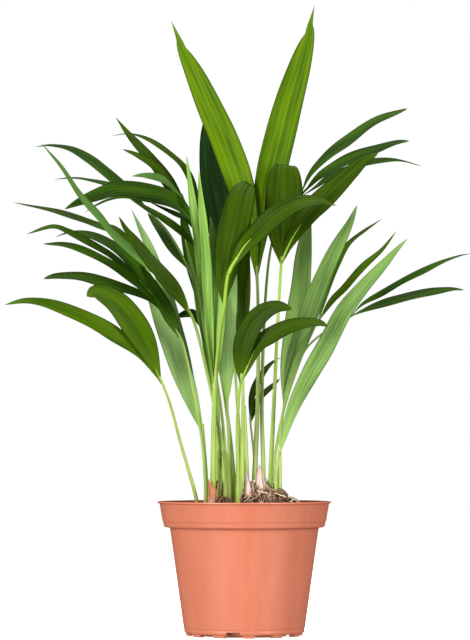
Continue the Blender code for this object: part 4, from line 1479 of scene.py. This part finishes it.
                9.5, turn=(-45, -50)),
          Blade([(-34.6, 3.6, 292), (-52, 7, 307), (-74, 10, 314), (-92, 12, 319),
                 (-109, 13, 323), (-121, 13, 325), (-135.5, 13, 324)],
                8.0, turn=(-50, -60)),
          Blade([(-29, 5.2, 270), (-45, 2, 286), (-56, 0, 294), (-70, -2, 303), (-81, -4, 309)],
                8.0, turn=(-50, -50)),
          Blade([(-30.5, 4.9, 280), (-39, 8, 294), (-49, 12, 299), (-67, 18, 308)],
                8.0, turn=(-50, -50))]),
    Leaf("frond_left_upper", "leaf_mature", (1.9, 0.9),
         [(-7, 17, 82), (-7.5, 17, 112), (-14, 19, 170), (-27, 23, 238), (-32, 25, 280),
          (-45, 29, 315)],
         [Blade([(-37, 26.5, 293), (-54, 31, 322), (-68, 36, 341), (-82.5, 41, 357.5),
                 (-92.5, 45, 371)],
                10.5, 0.4, 0.8, (-25, -35)),
          Blade([(-31.6, 24.8, 277), (-35, 26, 312), (-42, 26, 331), (-53, 29, 343),
                 (-67.5, 31, 353), (-82, 33, 358), (-95, 35, 357)],
                9.5, 0.5, 0.7, (-52, -62)),
          Blade([(-40.6, 27.6, 303.5), (-61, 24, 331), (-75, 21, 341), (-87, 18, 346)],
                9.5, turn=(-40, -45)),
          Blade([(-43.6, 28.5, 311), (-57, 18, 324), (-70, 13, 327), (-80, 9, 326)],
                7.0, turn=(130, 130))],
         Look(Skin.MATURE, Skin.UNDER, Stalk.GREEN)),
    Leaf("frond_left_back", "leaf_dark", (1.4, 0.9),
         [(-12.5, 11.5, 82), (-12.5, 12, 112), (-17, 13, 165), (-28, 14, 218), (-38, 17, 256),
          (-53, 22, 285), (-68, 27, 302)],
         [Blade([(-66, 26.3, 299.5), (-79, 30, 312), (-91, 33, 323), (-101, 36, 332),
                 (-111, 39, 340), (-125.5, 42, 348), (-140, 46, 351), (-151, 49, 350)],
                10.5, 0.4, 0.8, (-35, -50)),
          Blade([(-32, 15.2, 233), (-37, 19, 262), (-42, 26, 287), (-45, 34, 308)],
                10.0, turn=(-20, -20)),
          Blade([(-27, 13.8, 214), (-36, 13, 228), (-49, 11.5, 226)],
                7.5, 0.5, 0.6, (-35, -35)),
          Blade([(-40, 17.7, 260), (-52, 28, 276), (-62, 40, 292), (-70, 54, 303)],
                9.0, turn=(-40, -40))]),
)


# ------------------------------------------------------------------ sheaths, scales and stubs

@dataclass(frozen=True)
class Sheath:
    """A papery sheath that wraps the foot of a stalk, its top edge torn."""

    node: str
    slot: str
    stalk: str                 # the leaf whose stalk it wraps
    low: float                 # height of its foot
    high: float                # height of its top
    radii: tuple[float, float]                  # outside, at the foot and at the top
    finish: DrySheath
    torn: float                # how far the torn edge dips, as a part of its length
    seed: int

    THICKNESS = 0.35
    COLUMNS = 36
    ROWS = 26
    FRAY = 0.10                # how unevenly its top is torn, as a part of its length
    BUCKLE = 0.30              # how far it stands off the stalk or lies against it
    FLARE = 0.5                # how far its torn edge stands out

    def build(self) -> None:
        """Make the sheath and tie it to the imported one."""
        leaf = next(leaf for leaf in LEAVES if leaf.node == self.stalk)
        span = [p for p in Path(leaf.stalk, step=0.5).samples if self.low <= p.z <= self.high]
        path = Path([tuple(span[0]), tuple(span[len(span) // 2]), tuple(span[-1])], self.ROWS)
        piece = Piece(self.node + "_papery", [self.finish.material()])
        size = (math.tau * self.radii[0], path.length)
        verts = piece.sheet(self.COLUMNS, self.ROWS, self._skin(path, False), size)
        verts += piece.sheet(self.COLUMNS, self.ROWS, self._skin(path, True), size, flipped=True)
        bmesh.ops.remove_doubles(piece.bm, verts=verts, dist=WELD)
        stand_in_for(piece.finish(), self.slot, self.node)

    def _skin(self, path: Path, inner: bool) -> Place:
        """Give the placing of one skin.

        Args:
            path: The stalk's middle line, from the sheath's foot to its top.
            inner: True for the inner skin.

        Returns:
            A function from fractions round and up to a point.
        """
        shift = Vector((self.seed * 3.1, 0.7, 1.3))
        low, high = self.radii

        def place(u: float, v: float) -> Vector:
            """Place the sheath's surface.

            Args:
                u: The fraction of the way round.
                v: The fraction of the height.

            Returns:
                The point in millimetres.
            """
            angle = (u - 0.5) * math.tau
            round_it = Vector((math.cos(angle), math.sin(angle), 0.0))
            dip = self.torn * (0.5 + 0.5 * math.cos(angle * 2 + self.seed))
            dip += self.FRAY * (noise.noise(round_it * 4 + shift) + 0.6)
            t = v * (1.0 - dip)
            centre, side, face = path.frame(t)
            r = low + (high - low) * t
            r += self.BUCKLE * noise.noise(round_it * 3 + Vector((0, 0, t * 2)) + shift)
            r += self.FLARE * v ** 4 - 0.2
            r -= self.THICKNESS * (1 - (2 * v - 1) ** 8) if inner else 0.0
            return centre + face * (r * math.cos(angle)) - side * (r * math.sin(angle))

        return place


@dataclass(frozen=True)
class Spike:
    """A rolled pointed scale, or the blunt stub of an old stalk."""

    node: str
    slot: str
    foot: Point
    tip: Point
    radii: tuple[float, float]                  # at the foot and at the tip
    pointed: bool
    finish: Finish

    SWAY = (0.35, -0.25, 0.0)  # how far its middle leans out

    def build(self) -> None:
        """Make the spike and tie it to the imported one."""
        foot, tip = Vector(self.foot), Vector(self.tip)
        middle = foot.lerp(tip, 0.5) + Vector(self.SWAY)
        path = Path([self.foot, tuple(middle), self.tip], step=1.0)
        piece = Piece(self.node + "_rolled", [self.finish.material()])
        low, high = self.radii

        def radius(t: float) -> float:
            """Shape the spike from foot to tip.

            Args:
                t: The fraction of the height.

            Returns:
                The radius in millimetres.
            """
            if not self.pointed:
                return low + (high - low) * t
            crease = 1.0 + 0.05 * math.sin(t * 17)
            return high + (low - high) * (1 - t ** 1.6) ** 0.9 * crease

        piece.tube(path, radius, 16, groove=0.18)
        stand_in_for(piece.finish(), self.slot, self.node)


MATS = (
    RootMat("root_crown", (Lump((14.0, 0.0, 90.0), (16.2, 14.8, 17.6)),
                           Lump((23.5, -8.0, 95.0), (8.4, 8.0, 8.6)),
                           Lump((5.5, -8.0, 97.0), (7.6, 7.4, 12.0)),
                           Lump((13.0, -4.0, 97.0), (6.4, 7.0, 13.5)),
                           Lump((30.0, -3.0, 90.0), (10.0, 8.0, 8.0)),
                           Lump((5.5, -11.5, 91.0), (9.0, 7.5, 12.5)),
                           Lump((15.0, -10.0, 91.0), (9.0, 8.5, 13.0))),
            floor=88.9, fibres=460, stout=30, seed=5),
    RootMat("root_lump", (Lump((-14.0, -19.5, 93.4), (5.0, 4.1, 5.6)),),
            floor=88.9, fibres=60, stout=2, seed=8, tone=-0.22),
)

SHEATHS = (
    Sheath("sheath_left", "sheath_brown", "leaf_centre", 86.0, 113.0, (4.0, 3.4), BROWN_SHEATH,
           0.22, 1),
    Sheath("sheath_middle", "sheath_green", "frond_left_main", 86.0, 137.0, (3.9, 2.9),
           GREEN_SHEATH, 0.30, 4),
)

SPIKES = (
    Spike("scale_right", "sheath_pink", (11.0, -8.5, 92.0), (10.5, -6.5, 121.0), (5.4, 0.4), True,
          PINK_SHEATH),
    Spike("scale_left", "sheath_pink", (3.2, -13.6, 92.0), (0.8, -12.4, 117.0), (3.6, 0.4), True,
          PINK_SHEATH),
    Spike("stub_middle", "leaf_pale", (2.6, 9.0, 82.0), (-0.5, 2.0, 163.0), (1.9, 1.6), False,
          Stalk.OLIVE_LIT.value),
)


# ------------------------------------------------------------------ studio

@dataclass(frozen=True)
class Lamp:
    """One rectangular softbox."""

    name: str
    place: Point               # metres
    size: tuple[float, float]  # metres
    watts: float
    mirrored: bool = True      # whether shiny surfaces show it


@dataclass(frozen=True)
class Studio:
    """A white sweep, softboxes and the camera."""

    aim: Point = (-0.0066, 0.0, 0.140)          # metres, where the lens axis meets the plant
    distance: float = 2.5                       # metres
    lens: float = 198.5                         # millimetres
    rise: float = 0.184                         # vertical shift, as a part of the picture's height
    floor_size: float = 4.0                     # metres, from the middle to an edge
    fill: float = 0.30                          # how strongly the white surroundings light it
    mirrored: float = 0.06                      # how strongly shiny surfaces show them
    target: Point = (0.0, 0.0, 0.2)             # metres, where the softboxes point
    lamps: tuple[Lamp, ...] = (
        Lamp("softbox_left", (-1.35, -1.6, 0.5), (0.5, 1.5), 42.0),
        Lamp("softbox_right", (1.45, -1.4, 0.5), (0.4, 1.5), 27.0),
        Lamp("softbox_top", (0.0, 0.1, 1.9), (1.2, 1.2), 24.0),
        Lamp("softbox_back_left", (-1.1, 1.5, 1.0), (0.8, 1.0), 6.0, False),
        Lamp("softbox_back_right", (1.1, 1.5, 1.0), (0.8, 1.0), 6.0, False),
    )

    def build(self) -> None:
        """Set up the whole studio."""
        self._floor()
        self._world()
        for lamp in self.lamps:
            self._light(lamp)
        self._camera()

    def _floor(self) -> None:
        """Lay the pale floor."""
        bm = bmesh.new()
        bmesh.ops.create_grid(bm, x_segments=1, y_segments=1, size=self.floor_size)
        bmesh.ops.translate(bm, vec=(0, 0, CAD_BOX[0].z - FLOOR_GAP * MM), verts=bm.verts)
        mesh = bpy.data.meshes.new("floor")
        bm.to_mesh(mesh)
        bm.free()
        made, shader = new_material("floor_white_paper", {
            "Base Color": linear("fcfcfa"), "Roughness": 0.9, "Specular IOR Level": 0.1,
            "Emission Color": linear("ffffff"), "Emission Strength": 0.75})
        mesh.materials.append(made)
        floor = bpy.data.objects.new("floor", mesh)
        bpy.context.scene.collection.objects.link(floor)
        floor.visible_diffuse = False
        floor.visible_glossy = False
        floor.visible_shadow = False

    def _world(self) -> None:
        """Make the surroundings white to look at and gentler as a light."""
        world = bpy.data.worlds.new("studio_white")
        world.use_nodes = True
        tree = world.node_tree
        shown = tree.nodes["Background"]
        shown.inputs["Color"].default_value = linear("ffffff")
        shown.inputs["Strength"].default_value = 1.0
        lit, dim = [add_node(tree, "Background", {"Color": linear("ffffff"), "Strength": power})
                    for power in (self.fill, self.mirrored)]
        ray = add_node(tree, "LightPath")
        unseen = add_node(tree, "MixShader", {
            0: ray.outputs["Is Glossy Ray"], 1: lit.outputs[0], 2: dim.outputs[0]})
        both = add_node(tree, "MixShader", {
            0: ray.outputs["Is Camera Ray"], 1: unseen.outputs[0], 2: shown.outputs[0]})
        tree.links.new(both.outputs[0], tree.nodes["World Output"].inputs["Surface"])
        bpy.context.scene.world = world

    def _light(self, lamp: Lamp) -> None:
        """Hang one softbox, turned toward the plant.

        Args:
            lamp: Its place, size and power.
        """
        data = bpy.data.lights.new(lamp.name, "AREA")
        data.shape = "RECTANGLE"
        data.size, data.size_y = lamp.size
        data.energy = lamp.watts
        made = bpy.data.objects.new(lamp.name, data)
        toward = Vector(self.target) - Vector(lamp.place)
        made.location = lamp.place
        made.rotation_euler = toward.to_track_quat("-Z", "Y").to_euler()
        made.visible_glossy = lamp.mirrored
        bpy.context.scene.collection.objects.link(made)

    def _camera(self) -> None:
        """Stand the camera level in front, a little above the pot's lip."""
        data = bpy.data.cameras.new("camera")
        data.sensor_width = 36.0
        data.lens = self.lens
        data.shift_y = self.rise
        data.clip_start, data.clip_end = 0.05, 50.0
        made = bpy.data.objects.new("camera", data)
        made.location = Vector(self.aim) - Vector((0.0, self.distance, 0.0))
        made.rotation_euler = (math.radians(90), 0.0, 0.0)
        bpy.context.scene.collection.objects.link(made)
        bpy.context.scene.camera = made


# ------------------------------------------------------------------ the whole plant


def main() -> None:
    """Build the studio, then the pot, its filling and the plant, in that order."""
    logging.basicConfig(level=logging.INFO, format="%(message)s")
    bpy.context.scene.view_settings.view_transform = "Standard"
    Studio().build()
    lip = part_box("pot")[1]
    Pot(lip=lip.x / MM, height=lip.z / MM).build()
    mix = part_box("potting_mix")[1]
    PottingMix(surface=mix.z / MM, radius=mix.x / MM).build()
    for mat in MATS:
        mat.build()
    for leaf in LEAVES:
        leaf.build()
    for sheath in SHEATHS:
        sheath.build()
    for spike in SPIKES:
        spike.build()


if __name__ == "__main__":
    main()
